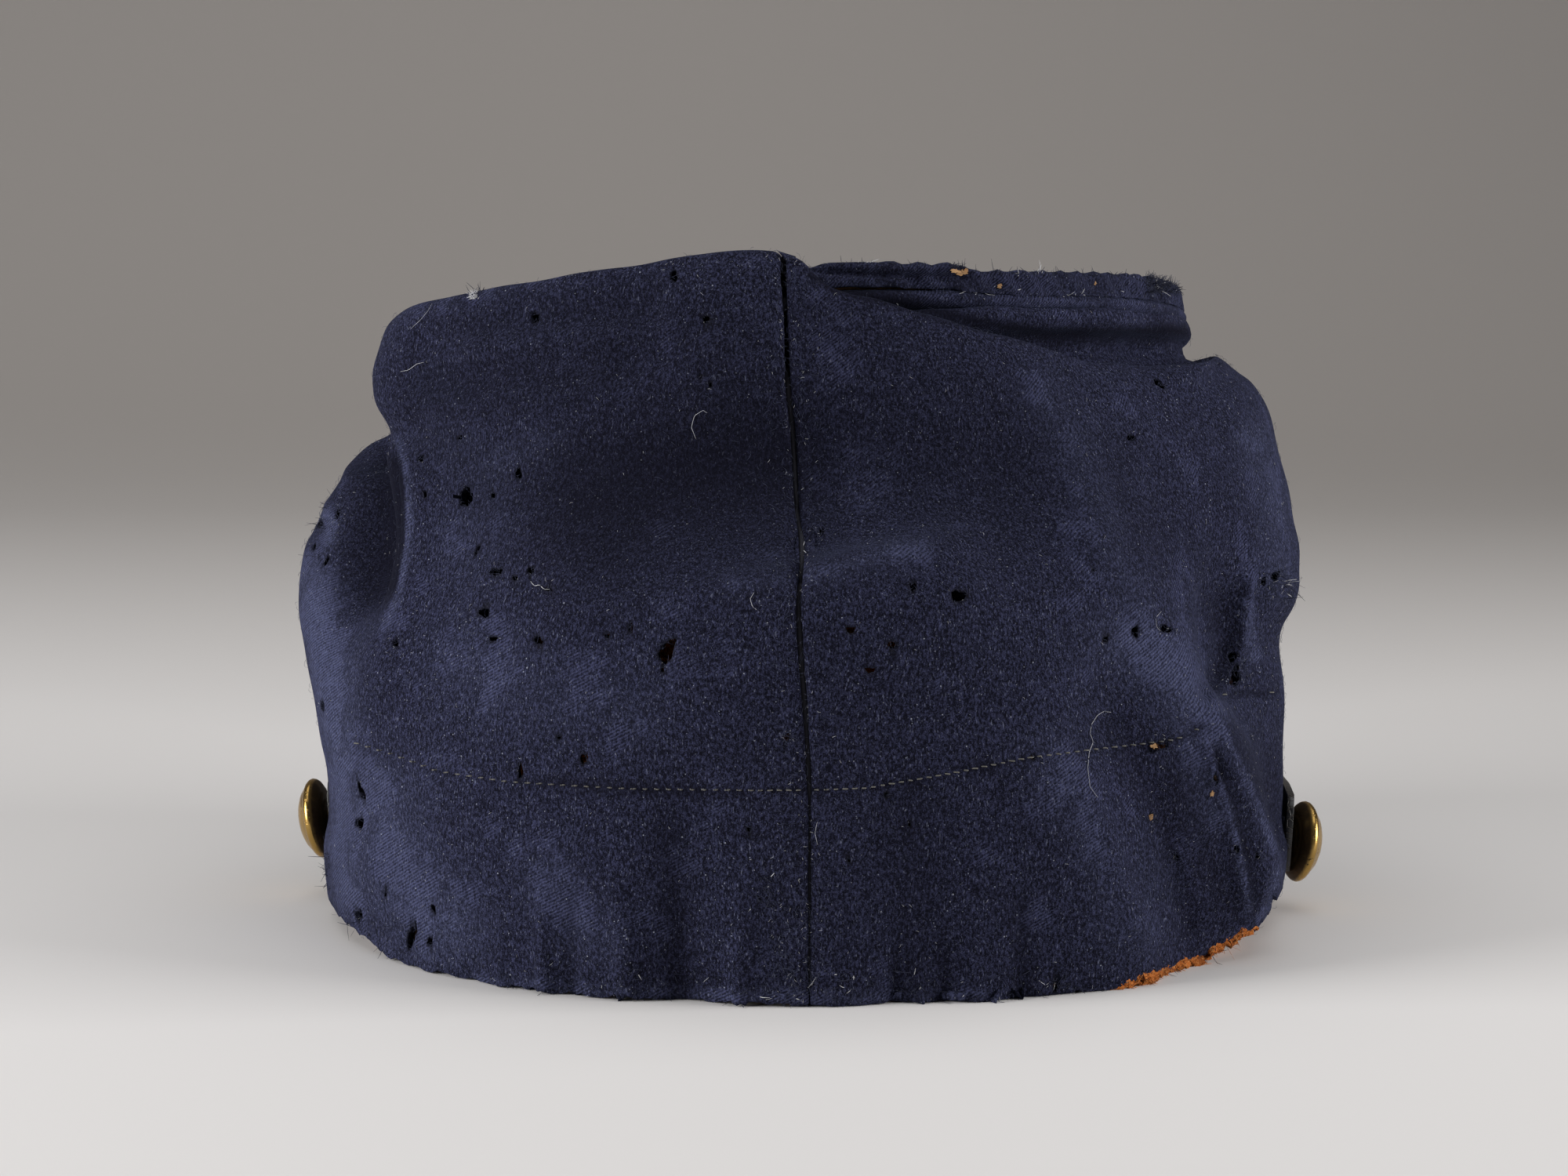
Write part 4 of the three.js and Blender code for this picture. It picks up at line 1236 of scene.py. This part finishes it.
# Hairs and threads that the photograph shows on the wool: thickness in millimetres, and lines
# of photograph pixels.
HAIRS = table("width line",
    (0.1, [(888, 560), (882, 545), (886, 530), (897, 523), (904, 528)]),
    (0.11, [
     (1416, 909), (1407, 907), (1398, 913), (1391, 924), (1389, 936), (1393, 946), (1388, 960),
     (1386, 980), (1389, 1004), (1400, 1019)]),
    (0.14, [(678, 742), (683, 748), (689, 746), (695, 752), (704, 752)]),
    (0.1, [(962, 756), (957, 764), (960, 774), (968, 780)]),
    (0.07, [(525, 420), (538, 408), (548, 396), (553, 386)]),
    (0.1, [(512, 474), (522, 472), (533, 464), (542, 462)]),
    (0.14, [(1027, 692), (1025, 700), (1028, 708)]),
    (0.08, [(1480, 780), (1473, 788), (1474, 800), (1480, 806)]),
    (0.07, [(1043, 1048), (1040, 1062), (1044, 1080)]),
    (0.08, [(550, 1246), (562, 1252), (576, 1250), (588, 1256)]),
    (0.1, [(1392, 1272), (1400, 1266), (1412, 1262), (1424, 1268)]),
    (0.06, [(1186, 300), (1196, 296), (1204, 302)]))

NAP_FIBRES = 3400
LINT_FIBRES = 420
FIBRE_SEED = 7


class CAP_OT_fibres(bpy.types.Operator):
    """Scatters the wool's own fibres, lint and hairs over the body"""
    bl_idname = "cap.fibres"
    bl_label = "Fibres and lint"

    def execute(self, context):
        chance = random.Random(FIBRE_SEED)
        nap, lint = Threads(3), Threads(4)
        for name in ("left_side", "right_side"):
            mesh = bpy.data.objects[name].data
            places = coordinates(mesh)
            directions = normals(mesh)
            seen = facing(directions)
            outward = np.einsum("ij,ij->i", directions, places - np.array(BODY_AXIS)) > 0
            outside = np.nonzero(outward & (places[:, 2] > 0.001))[0]
            for i in chance.sample(list(outside), min(NAP_FIBRES, len(outside))):
                self.curl(nap, chance, places[i], directions[i], 0.5, 1.6, 0.028)
            shown = [i for i in outside if seen[i] > 0.1]
            for i in chance.sample(shown, LINT_FIBRES):
                self.curl(lint, chance, places[i], directions[i], 0.12, 0.7, 0.034)
        for place in Stock.torn:
            if chance.random() < 0.5:
                self.curl(nap, chance, place, CAMERA_BACK, 0.4, 1.3, 0.03)
        for hair in HAIRS:
            hits = [shown_at(Stock.surface, pixel) for pixel in along(hair["line"], 3.0)]
            line = [place + normal * 0.25 * MM for place, normal in hits if place is not None]
            if len(line) > 2:
                lint.add(line, hair["width"] * MM * 0.5, taper=0.5)
        nap.piece("wool_fibres", thread("Wool fibre", (0.055, 0.062, 0.11)), "navy_cloth")
        lint.piece("lint_and_hairs", thread("Pale lint", (0.52, 0.52, 0.55)), "navy_cloth")
        return {"FINISHED"}

    @staticmethod
    def curl(threads, chance, place, normal, shortest, longest, radius):
        """One short curled fibre that starts in the cloth and lifts off it a little."""
        normal = Vector(normal)
        side = normal.orthogonal().normalized()
        side.rotate(Matrix.Rotation(chance.uniform(0, 2 * math.pi), 3, normal))
        other = normal.cross(side)
        length = chance.uniform(shortest, longest) * MM
        lift, bend = chance.uniform(0.1, 0.5), chance.uniform(-0.8, 0.8)
        place = Vector(place)
        line = [place + side * length * t + normal * length * lift * math.sin(t * 2.4)
                + other * length * bend * t * t for t in (0.0, 0.35, 0.7, 1.0)]
        threads.add(line, radius * MM)


# The disc

# Small moves of the disc's cover, welt and board, in the way of OUTLINE_MOVES.
DISC_MOVES = table("x y right down reach",
    (1060, 345, 0, -14, 40), (1120, 342, 0, -10, 40), (1200, 342, 0, -6, 36), (1270, 342, 0, 2, 36),
    (1330, 342, 0, 5, 40), (1400, 345, 2, 4, 40), (1500, 385, 12, 4, 60))

# Creases of the disc's cover, between its torn upper layer and the skirt, and in the skirt:
# depth and half width in millimetres.
COVER_FOLDS = table("depth width line",
    (-1.1, 0.55, [(1050, 346), (1110, 350), (1170, 352), (1232, 352)]),
    (0.7, 0.9, [(1050, 338), (1110, 340), (1170, 343), (1228, 344)]),
    (-0.8, 0.7, [(1262, 360), (1276, 366)]),
    (-0.7, 0.6, [(1380, 352), (1398, 366)]),
    (-0.7, 0.5, [(1418, 352), (1428, 362)]),
    (-0.9, 0.8, [(1160, 352), (1178, 366)]),
    (0.6, 0.7, [(1440, 350), (1462, 368)]),
    (0.4, 0.8, [(1300, 352), (1360, 356), (1430, 354)]))

# The disc's upward normal, its middle from side to side, and the level over which it is refined.
DISC_UP = np.array(UP) * 0.98 + np.array((-0.085, 0.19, 0))
DISC_X = 0.0055
DISC_LEVEL = 0.112
DISC_RADIUS_MM = 77
SKIRT_RADIUS = 0.06
RIB_PITCH = 1.25
BOARD_SHARE = (0.975, 0.975, 1.0)


class CAP_OT_disc(bpy.types.Operator):
    """Makes the torn cover of the disc, its corded welt and its board"""
    bl_idname = "cap.disc"
    bl_label = "Crown disc"

    def execute(self, context):
        worn = wool("Worn wool", worn=0.10)
        cover = node_copy("crown_disc", "disc_cover")
        crease_sharp(cover, 0.7)
        subdivide(cover, 2)
        move_outline(cover, DISC_MOVES)
        self.crumple(cover, 0.35)
        self.lap(cover)
        map_cloth(cover)
        set_attribute(cover.data, "rubbed", 0.2)
        set_attribute(cover.data, "painted_shade_and_tone", 0.35)
        shade(cover, 60)
        finish(cover, worn, "navy_cloth", "crown_disc")
        welt = node_copy("disc_welt", "corded_welt")
        subdivide(welt, 2)
        move_outline(welt, DISC_MOVES)
        self.crumple(welt, 0.3)
        map_cloth(welt)
        # Painted shade on the welt in the hollow under the rolled edge, over a darker tone.
        away, _ = line_distance(to_pixels(coordinates(welt.data)), HOLLOW_LINE)
        set_attribute(welt.data, "rubbed", 0.3)
        set_attribute(welt.data, "painted_shade_and_tone", np.maximum(0.2, bell(away, 14.0)))
        shade(welt, 80)
        finish(welt, wool("Welt wool", worn=0.06), "navy_cloth", "disc_welt")
        board = node_copy("disc_board", "stiffener")
        move_outline(board, DISC_MOVES)
        places = coordinates(board.data)
        set_coordinates(board.data, places.mean(0) + (places - places.mean(0)) * BOARD_SHARE)
        modify(board, "BEVEL", width=0.4 * MM, segments=2, limit_method="ANGLE")
        shade(board)
        finish(board, pasteboard(), "pasteboard", "disc_board")
        return {"FINISHED"}

    @staticmethod
    def at_back(middles, pixels):
        """The faces of the skirt and rim that the photograph shows."""
        out = np.hypot(middles[:, 0] - DISC_X, middles[:, 1])
        high = (pixels[:, 1] < 400) & (middles[:, 2] > DISC_LEVEL)
        return (middles[:, 1] < 0) & high & (out > SKIRT_RADIUS)

    @classmethod
    def lap(cls, cover):
        """Draws the skirt's lower edge down over the welt, and presses its layers apart."""
        refine(cover, cls.at_back, 1)
        places = coordinates(cover.data)
        directions = normals(cover.data)
        pixels = to_pixels(places)
        level = places @ DISC_UP
        low = smooth(level.min() + 3.4 * MM, level.min(), level)
        places -= DISC_UP * (1.0 * MM * low)[:, None]
        depth = np.zeros(len(places))
        for fold in COVER_FOLDS:
            away, _ = line_distance(pixels, fold["line"])
            depth += fold["depth"] * bell(away * PIXEL / MM, fold["width"])
        around = np.arctan2(places[:, 0], -places[:, 1]) * DISC_RADIUS_MM
        ribs = np.sin(around * 2 * np.pi / RIB_PITCH + places[:, 2] / MM * 0.9)
        depth += 0.34 * ribs * smooth(1100, 1150, pixels[:, 0])
        torn = smooth(1228, 1238, pixels[:, 0]) * smooth(1475, 1445, pixels[:, 0])
        high = smooth(level.max() - 3.4 * MM, level.max() - 1.2 * MM, level)
        places -= DISC_UP * (1.0 * MM * torn * high)[:, None]
        depth *= smooth(0.0, 0.3, facing(directions))
        set_coordinates(cover.data, places + directions * (depth * MM)[:, None])

    @staticmethod
    def crumple(piece, depth):
        """Makes a piece's face uneven, by millimetres."""
        places = [Vector(place) for place in coordinates(piece.data)]
        uneven = [noise.noise(p * 90) * 0.6 + noise.noise(p * 260) * 0.4 for p in places]
        push_out(piece, np.array(uneven) * depth)


# Leather

# The lower edge of the rust leather, which shows behind the hem at the right, and the columns
# that it shows between, in photograph pixels.
LEATHER_LINE = [
    (1300, 1258), (1400, 1261), (1430, 1259), (1452, 1254), (1480, 1246), (1500, 1244), (1516, 1236),
    (1535, 1229), (1551, 1214), (1576, 1202), (1604, 1186), (1640, 1126)]
EDGE_LEFT = 1402
EDGE_RIGHT = 1612
EDGE_PITCH = 0.9
EDGE_ROWS = 12


class CAP_OT_leather(bpy.types.Operator):
    """Makes the peak, the chin strap and the sweatband"""
    bl_idname = "cap.leather"
    bl_label = "Leather"

    def execute(self, context):
        glazed = glazed_leather()
        peak = node_copy("peak", "leather_peak")
        crease_sharp(peak, 0.85)
        subdivide(peak, 2)
        shade(peak)
        finish(peak, glazed, "black_leather", "peak")
        strap = node_copy("chin_strap", "leather_strap")
        modify(strap, "BEVEL", width=0.3 * MM, segments=2, limit_method="ANGLE",
               angle_limit=SHARP_EDGE)
        shade(strap, 50)
        finish(strap, glazed, "black_leather", "chin_strap")
        leather = rotten_leather()
        band = node_copy("sweatband", "leather_sweatband")
        crease_sharp(band, 0.8)
        subdivide(band, 3)
        self.fray(band)
        shade(band, 60)
        finish(band, leather, "rust_leather", "sweatband")
        edge = self.broken_edge()
        shade(edge, 50)
        finish(edge, leather, "rust_leather")
        return {"FINISHED"}

    @staticmethod
    def broken_edge():
        """The sweatband's broken lower edge, which shows under the cloth's hem at the right."""
        hem, feet = zip(*Stock.hem)
        feet = np.array(feet)
        corners, faces = [], []
        for n, column in enumerate(np.arange(EDGE_LEFT, EDGE_RIGHT, EDGE_PITCH)):
            foot = Vector([np.interp(column, hem, feet[:, k]) for k in range(3)])
            inward = Vector((BODY_AXIS.x - foot.x, BODY_AXIS.y - foot.y, 0)).normalized()
            jag = (noise.noise(Vector((column * 0.1, 3, 0))) * 3.6
                   + noise.noise(Vector((column * 0.45, 9, 0))) * 3.4)
            taper = float(smooth(EDGE_LEFT, EDGE_LEFT + 48, column)
                          * smooth(EDGE_RIGHT, EDGE_RIGHT - 12, column))
            wanted = float(np.interp(column, *np.transpose(LEATHER_LINE))) + jag * taper
            top = foot + inward * 1.5 * MM + UP * 2.2 * MM
            reach = (wanted - to_pixels([top])[0][1]) * PIXEL
            for row in range(EDGE_ROWS):
                share = row / (EDGE_ROWS - 1)
                at = top - UP * max(reach * share, 0.3 * MM * share)
                rough = (noise.noise(at * 900) * 0.7 + noise.noise(at * 2400) * 0.6) * MM * share
                at = at - inward * (0.9 * MM * share * taper + rough)
                at.z = max(at.z, 0.3 * MM)
                corners.append(at)
            if n:
                for row in range(EDGE_ROWS - 1):
                    a, b = (n - 1) * EDGE_ROWS + row, n * EDGE_ROWS + row
                    faces.append((a, b, b + 1, a + 1))
        piece = mesh_piece("leather_edge", corners, faces)
        modify(piece, "SOLIDIFY", thickness=0.9 * MM, offset=-1)
        return piece

    @staticmethod
    def fray(band):
        """Crumbles the sweatband's lower edge, and presses the band off the cloth."""
        places = coordinates(band.data)
        for i, place in enumerate(places):
            low = Vector(place)
            edge = float(smooth(0.010, 0.0, place[2]))
            jag = noise.noise(low * 190) * 1.0 + noise.noise(low * 620) * 0.8
            places[i][2] = max(place[2] + jag * edge * MM, 0.2 * MM)
            inward = -Vector((place[0] - BODY_AXIS.x, place[1] - BODY_AXIS.y, 0)).normalized()
            places[i] += np.array(inward) * (0.9 + 0.25 * noise.noise(low * 300)) * MM
        set_coordinates(band.data, places)


# Brass

# The outline of a button from its back to the middle of its dome: radius as a share of the
# button's, and height in millimetres over its back.
BUTTON_OUTLINE = table("out rise",
    (0.3, -0.95), (0.42, -0.92), (0.46, -0.74), (0.5, -0.84), (0.62, -0.66), (0.66, -0.48),
    (0.7, -0.52), (0.84, -0.16), (0.94, 0.32), (0.985, 0.78), (1.0, 1.22), (0.985, 1.66),
    (0.94, 2.08), (0.9, 2.3), (0.87, 2.34), (0.83, 2.66), (0.7, 3.46), (0.52, 4.1), (0.34, 4.5),
    (0.16, 4.72))
# Where the photograph shows the middle of each button's rim, and which way its dome faces.
BUTTONS = table("node name x y faces",
    ("button_left", "left_button", 407, 1043, (-0.97, 0.15, -0.17)),
    ("button_right", "right_button", 1658, 1073, (0.955, 0.23, -0.17)))
BUTTON_RIM = 1.1
BUTTON_SEGMENTS = 64
SHANK_RADIUS = 1.4 * MM
SHANK_TOP = -1.0 * MM


def button_place(node):
    """The middle of a button's back and how far its shank reaches, from its solid."""
    points = coordinates(frame["nodes"][node].data)
    points = np.unique(points.round(7), axis=0)
    middle = points.mean(0)
    away = np.linalg.svd(points - middle)[2][2]
    outward = middle - np.array(BODY_AXIS)
    away *= np.sign(away[:2] @ outward[:2])
    rise = (points - middle) @ away
    out = np.linalg.norm(points - middle - np.outer(rise, away), axis=1)
    back = rise[out > out.max() * 0.85].min()
    return Vector(middle + away * back), float(back - rise.min())


class CAP_OT_brass(bpy.types.Operator):
    """Makes the two side buttons and the strap's slide"""
    bl_idname = "cap.brass"
    bl_label = "Brass"

    def execute(self, context):
        brass = aged_brass()
        for row in BUTTONS:
            place, shank = button_place(row["node"])
            away = Vector(row["faces"]).normalized()
            seen = to_pixels([place + away * BUTTON_RIM * MM])[0]
            place += CAMERA_RIGHT * (row["x"] - seen[0]) * PIXEL
            place += CAMERA_UP * (seen[1] - row["y"]) * PIXEL
            piece = self.button(row["name"], context.scene.cap_brass.diameter / 2, shank)
            turn = UP.rotation_difference(away).to_matrix().to_4x4()
            piece.data.transform(Matrix.Translation(place) @ turn)
            rise = (coordinates(piece.data) - np.array(place)) @ np.array(away)
            set_attribute(piece.data, "hidden", smooth(1.1 * MM, 0.3 * MM, rise))
            shade(piece, 50)
            finish(piece, brass, "aged_brass", row["node"])
        slide = node_copy("strap_slide", "brass_slide")
        modify(slide, "BEVEL", width=0.35 * MM, segments=3, limit_method="ANGLE")
        set_attribute(slide.data, "hidden", 0)
        shade(slide)
        finish(slide, brass, "aged_brass", "strap_slide")
        return {"FINISHED"}

    @staticmethod
    def button(name, radius, shank):
        """A stamped button: its rings are drawn up from the shank's foot to the dome."""
        bpy.ops.object.select_all(action="DESELECT")
        bpy.ops.mesh.primitive_circle_add(vertices=BUTTON_SEGMENTS, radius=SHANK_RADIUS,
                                          fill_type="NGON", location=(0, 0, 0))
        piece = bpy.context.active_object
        piece.name = name
        rings = [(SHANK_RADIUS, SHANK_TOP)]
        rings += [(radius * row["out"], row["rise"] * MM) for row in BUTTON_OUTLINE]
        edit(piece)
        bpy.ops.mesh.select_all(action="SELECT")
        bpy.ops.transform.translate(value=(0, 0, -shank))
        wide, level = SHANK_RADIUS, -shank
        for ring, rise in rings:
            bpy.ops.mesh.extrude_region_move(TRANSFORM_OT_translate={"value": (0, 0, rise - level)})
            if ring != wide:
                grow = ring / wide
                bpy.ops.transform.resize(value=(grow, grow, 1), center_override=(0, 0, 0))
            wide, level = ring, rise
        bpy.ops.mesh.select_all(action="SELECT")
        bpy.ops.mesh.remove_doubles(threshold=1e-7)
        bpy.ops.mesh.normals_make_consistent(inside=False)
        leave_edit()
        return piece


# Frays and scraps

# Frayed places: a box of photograph pixels, how many threads and how long in millimetres,
# and the way that they stand, in degrees anticlockwise from the photograph's right.
FRAYS = table("box count long way kind",
    ((1462, 346, 1506, 374), 1500, 0.8, 40, "wool"), ((1472, 346, 1498, 354), 300, 0.9, 60, "wool"),
    ((1472, 352, 1504, 372), 60, 0.6, 40, "lint"), ((1212, 332, 1234, 342), 420, 0.7, 0, "wool"),
    ((960, 1118, 984, 1156), 260, 0.6, 20, "wool"), ((1090, 328, 1110, 336), 16, 0.9, 90, "lint"),
    ((1050, 326, 1210, 340), 160, 0.6, 90, "wool"), ((1240, 340, 1460, 354), 300, 0.7, 90, "wool"),
    ((1300, 346, 1330, 352), 14, 1.2, 80, "lint"), ((1180, 370, 1500, 378), 110, 1.1, -80, "wool"),
    ((1200, 372, 1480, 377), 26, 0.8, -80, "lint"), ((600, 373, 609, 382), 240, 0.4, 90, "lint"),
    ((596, 366, 616, 378), 90, 0.8, 80, "wool"), ((408, 1085, 422, 1140), 150, 1.0, 215, "wool"),
    ((400, 640, 438, 720), 160, 1.1, 110, "wool"), ((1612, 730, 1648, 770), 110, 1.6, 30, "wool"),
    ((1620, 740, 1646, 760), 22, 1.0, 60, "lint"), ((1566, 820, 1590, 880), 70, 1.2, 60, "wool"),
    ((430, 1170, 520, 1232), 90, 1.2, 230, "wool"), ((520, 1236, 1380, 1284), 900, 1.0, 265, "wool"),
    ((560, 1240, 1380, 1278), 40, 1.0, 270, "lint"),
    ((1380, 1180, 1640, 1262), 160, 1.2, 300, "wool"), ((955, 1112, 990, 1160), 9, 0.9, 100, "lint"),
    ((1400, 1186, 1606, 1268), 2600, 0.8, 290, "rust"))

# Scraps of tan board and canvas: place and size in photograph pixels, turn in degrees, and how
# deep each lies under the cloth's face, in millimetres.
SCRAPS = table("x y wide high turn under",
    (1217, 345, 13, 5, 8, -0.4), (1225, 347, 15, 7, 3, -0.3), (1231, 345, 6, 5, -30, -0.35),
    (1275, 364, 6, 7, 0, 0.05), (1397, 361, 3, 5, 0, 0.05), (1480, 952, 21, 9, -3, -0.12),
    (1472, 953, 9, 6, 10, -0.25), (1550, 992, 4, 11, -18, -0.1), (1546, 1012, 4, 9, 8, -0.02),
    (1467, 1043, 6, 9, 20, -0.02), (605, 637, 5, 12, 10, 1.2))
SCRAP_SIDES = 26


class CAP_OT_frays(bpy.types.Operator):
    """Adds the frayed threads, and the scraps of board and canvas that show through"""
    bl_idname = "cap.frays"
    bl_label = "Frays and scraps"

    def execute(self, context):
        chance = random.Random(29)
        edge = bpy.data.objects["leather_edge"]
        shown = tree_of(*[bpy.data.objects[n] for n in (
            "left_side", "right_side", "disc_cover", "corded_welt")], edge)
        hide = tree_of(edge)
        kinds = {"wool": Threads(4), "lint": Threads(4), "rust": Threads(4)}
        for fray in FRAYS:
            x0, y0, x1, y1 = fray["box"]
            for _ in range(fray["count"]):
                pixel = (chance.uniform(x0, x1), chance.uniform(y0, y1))
                place, normal = shown_at(shown, pixel)
                if place is not None and fray["kind"] == "rust":
                    leather, _ = shown_at(hide, pixel)
                    place = place if leather and (leather - place).length < 0.01 * MM else None
                if place is not None:
                    turn = math.radians(fray["way"] + chance.gauss(0, 60))
                    way = (CAMERA_RIGHT * math.cos(turn) + CAMERA_UP * math.sin(turn)
                           + CAMERA_BACK * chance.uniform(-0.1, 0.6)).normalized()
                    self.strand(kinds[fray["kind"]], chance, place, normal, way, fray["long"])
        wool_fray = thread("Frayed wool", (0.024, 0.027, 0.050))
        kinds["wool"].piece("frayed_wool", wool_fray, "navy_cloth")
        kinds["lint"].piece("white_threads", thread("White thread", (0.66, 0.66, 0.68)), "navy_cloth")
        kinds["rust"].piece("leather_fibres", thread("Leather fibre", (0.62, 0.22, 0.05)),
                            "rust_leather")
        self.scraps(shown)
        return {"FINISHED"}

    @staticmethod
    def strand(threads, chance, place, normal, way, longest):
        """One loose thread that starts under the cloth's face and bends as it goes."""
        length = longest * chance.uniform(0.3, 1.0) * MM
        bend = Vector((chance.gauss(0, 1), chance.gauss(0, 1), chance.gauss(0, 1))) * 1.1
        line = []
        for t in (0.0, 0.3, 0.65, 1.0):
            at = place - normal * 0.15 * MM + way * length * t + bend * length * t * t
            at.z = max(at.z, 0.12 * MM)
            line.append(at)
        threads.add(line, chance.uniform(0.035, 0.075) * MM)

    @staticmethod
    def scraps(shown):
        """Ragged flat scraps, each facing the camera where the photograph shows it."""
        corners, faces = [], []
        for scrap in SCRAPS:
            middle, normal = shown_at(shown, (scrap["x"], scrap["y"]))
            if middle is None:
                continue
            turn = math.radians(scrap["turn"])
            across = CAMERA_RIGHT * math.cos(turn) - CAMERA_UP * math.sin(turn)
            upward = CAMERA_RIGHT * math.sin(turn) + CAMERA_UP * math.cos(turn)
            start = len(corners)
            for k in range(SCRAP_SIDES):
                angle = 2 * math.pi * k / SCRAP_SIDES
                at = Vector((k * 0.9, scrap["x"] * 0.1, scrap["y"] * 0.1))
                ragged = (1 + 0.8 * noise.noise(at)) * PIXEL / 2
                corners.append(middle - normal * scrap["under"] * MM
                               + across * math.cos(angle) * scrap["wide"] * ragged
                               + upward * math.sin(angle) * scrap["high"] * ragged)
            faces.append(tuple(range(start, start + SCRAP_SIDES)))
        piece = mesh_piece("board_scraps", corners, faces)
        modify(piece, "SOLIDIFY", thickness=0.35 * MM, offset=0)
        finish(piece, pasteboard(), "pasteboard")


# Table, light and camera

# Each light's place, the point that it faces, its size in metres and its power in watts.
LIGHTS = table("name place target size watts",
    ("Left window", (-1.15, -0.46, 0.36), (0, 0, 0.04), (0.7, 0.6), 20.5),
    ("Right window", (1.15, -0.30, 0.38), (0, 0, 0.04), (0.7, 0.6), 15.5),
    ("Ceiling", (0.0, 0.05, 1.35), (0, 0, 0), (1.6, 1.3), 8.5))
ROOM_COLOUR = (0.96, 0.98, 1.0, 1)
ROOM_LIGHT = 0.055
TABLE_SIZE = (9, 4.6, 1)
TABLE_MIDDLE = (0, -0.6, 0)
BACKDROP_HEIGHT = 4.0
BACKDROP_SHADE = (0.12, 0.11, 0.105)
SWEEP_RADIUS = 1.1


class CAP_OT_stage(bpy.types.Operator):
    """Sets up the table, the backdrop, the lights and the camera"""
    bl_idname = "cap.stage"
    bl_label = "Table and light"

    def execute(self, context):
        scene = context.scene
        bpy.ops.object.select_all(action="DESELECT")
        bpy.ops.mesh.primitive_plane_add(size=1, location=(0, 0, 0))
        table = context.active_object
        table.name = "table"
        edit(table)
        bpy.ops.mesh.select_all(action="SELECT")
        bpy.ops.transform.resize(value=TABLE_SIZE, center_override=(0, 0, 0))
        bpy.ops.transform.translate(value=TABLE_MIDDLE)
        bpy.ops.mesh.select_all(action="DESELECT")
        leave_edit()
        for side in table.data.edges:
            side.select = all(table.data.vertices[i].co.y > 1 for i in side.vertices)
        edit(table)
        bpy.ops.mesh.extrude_region_move(
            TRANSFORM_OT_translate={"value": (0, 0, BACKDROP_HEIGHT)})
        leave_edit()
        modify(table, "BEVEL", width=SWEEP_RADIUS, segments=24, limit_method="ANGLE")
        shade(table, 60)
        table.data.materials.append(self.paper(scene.cap_table))
        for row in LIGHTS:
            self.light(**row)
        world = bpy.data.worlds.new("Room")
        scene.world = world
        world.use_nodes = True
        background = world.node_tree.nodes["Background"]
        background.inputs["Color"].default_value = ROOM_COLOUR
        background.inputs["Strength"].default_value = ROOM_LIGHT
        scene.view_settings.view_transform = "Standard"
        camera = linked("camera", bpy.data.cameras.new("camera"))
        camera.data.sensor_width = SENSOR_WIDTH
        camera.data.lens = LENS
        camera.data.clip_start = 0.05
        camera.data.clip_end = 30
        camera.location = CAMERA_PLACE
        camera.rotation_euler = (-CAMERA_BACK).to_track_quat("-Z", "Y").to_euler()
        scene.camera = camera
        return {"FINISHED"}

    @staticmethod
    def light(name, place, target, size, watts):
        lamp = bpy.data.lights.new(name, "AREA")
        lamp.shape = "RECTANGLE"
        lamp.size, lamp.size_y = size
        lamp.energy = watts
        holder = linked(name, lamp)
        holder.location = place
        away = Vector(target) - Vector(place)
        holder.rotation_euler = away.to_track_quat("-Z", "Y").to_euler()

    @staticmethod
    def paper(table):
        """Seamless paper, pale on the table, with painted shade that darkens it high up and further to
        the right, for the light's falloff.
        """
        s = Shader("Seamless paper")
        side = s.axis("X")
        # Painted shade: the paper darkens with height and depth, and more to the right.
        high = (s.axis("Z") * 1.2 + s.axis("Y") + side * 0.12).step(0.02, 0.78)
        colour = s.mix(high, table.colour, table.backdrop)
        colour = s.mix((side * 0.8).step(-0.1, 0.8) * 0.7 * high, colour, BACKDROP_SHADE)
        return s.finish(colour, 0.85, s.bump(s.noise(900, 2, 0.5), 0.05 * MM, 0.3),
                        Specular_IOR_Level=0.2)


class CAP_PT_pieces(bpy.types.Panel):
    """Lists the cap's pieces and their sizes and colours"""
    bl_idname = "CAP_PT_pieces"
    bl_label = "Forage cap"
    bl_space_type = "VIEW_3D"
    bl_region_type = "UI"
    bl_category = "Cap"

    def draw(self, context):
        for operator in PIECES:
            self.layout.operator(operator.bl_idname)
        for name in GROUPS:
            group = getattr(context.scene, name)
            for key in type(group).__annotations__:
                self.layout.prop(group, key)


GROUPS = {"cap_cloth": CapCloth, "cap_leather": CapLeather, "cap_brass": CapBrass,
          "cap_table": CapTable}
PIECES = (CAP_OT_stage, CAP_OT_body, CAP_OT_stitches, CAP_OT_fibres, CAP_OT_disc,
          CAP_OT_leather, CAP_OT_brass, CAP_OT_frays)


def register():
    for group in GROUPS.values():
        bpy.utils.register_class(group)
    for name, group in GROUPS.items():
        setattr(bpy.types.Scene, name, bpy.props.PointerProperty(type=group))
    for operator in PIECES:
        bpy.utils.register_class(operator)
    bpy.utils.register_class(CAP_PT_pieces)


def unregister():
    bpy.utils.unregister_class(CAP_PT_pieces)
    for operator in reversed(PIECES):
        bpy.utils.unregister_class(operator)
    for name in GROUPS:
        delattr(bpy.types.Scene, name)
    for group in reversed(list(GROUPS.values())):
        bpy.utils.unregister_class(group)


def main():
    register()
    for operator in PIECES:
        space, name = operator.bl_idname.split(".")
        getattr(getattr(bpy.ops, space), name)()


if __name__ == "__main__":
    main()
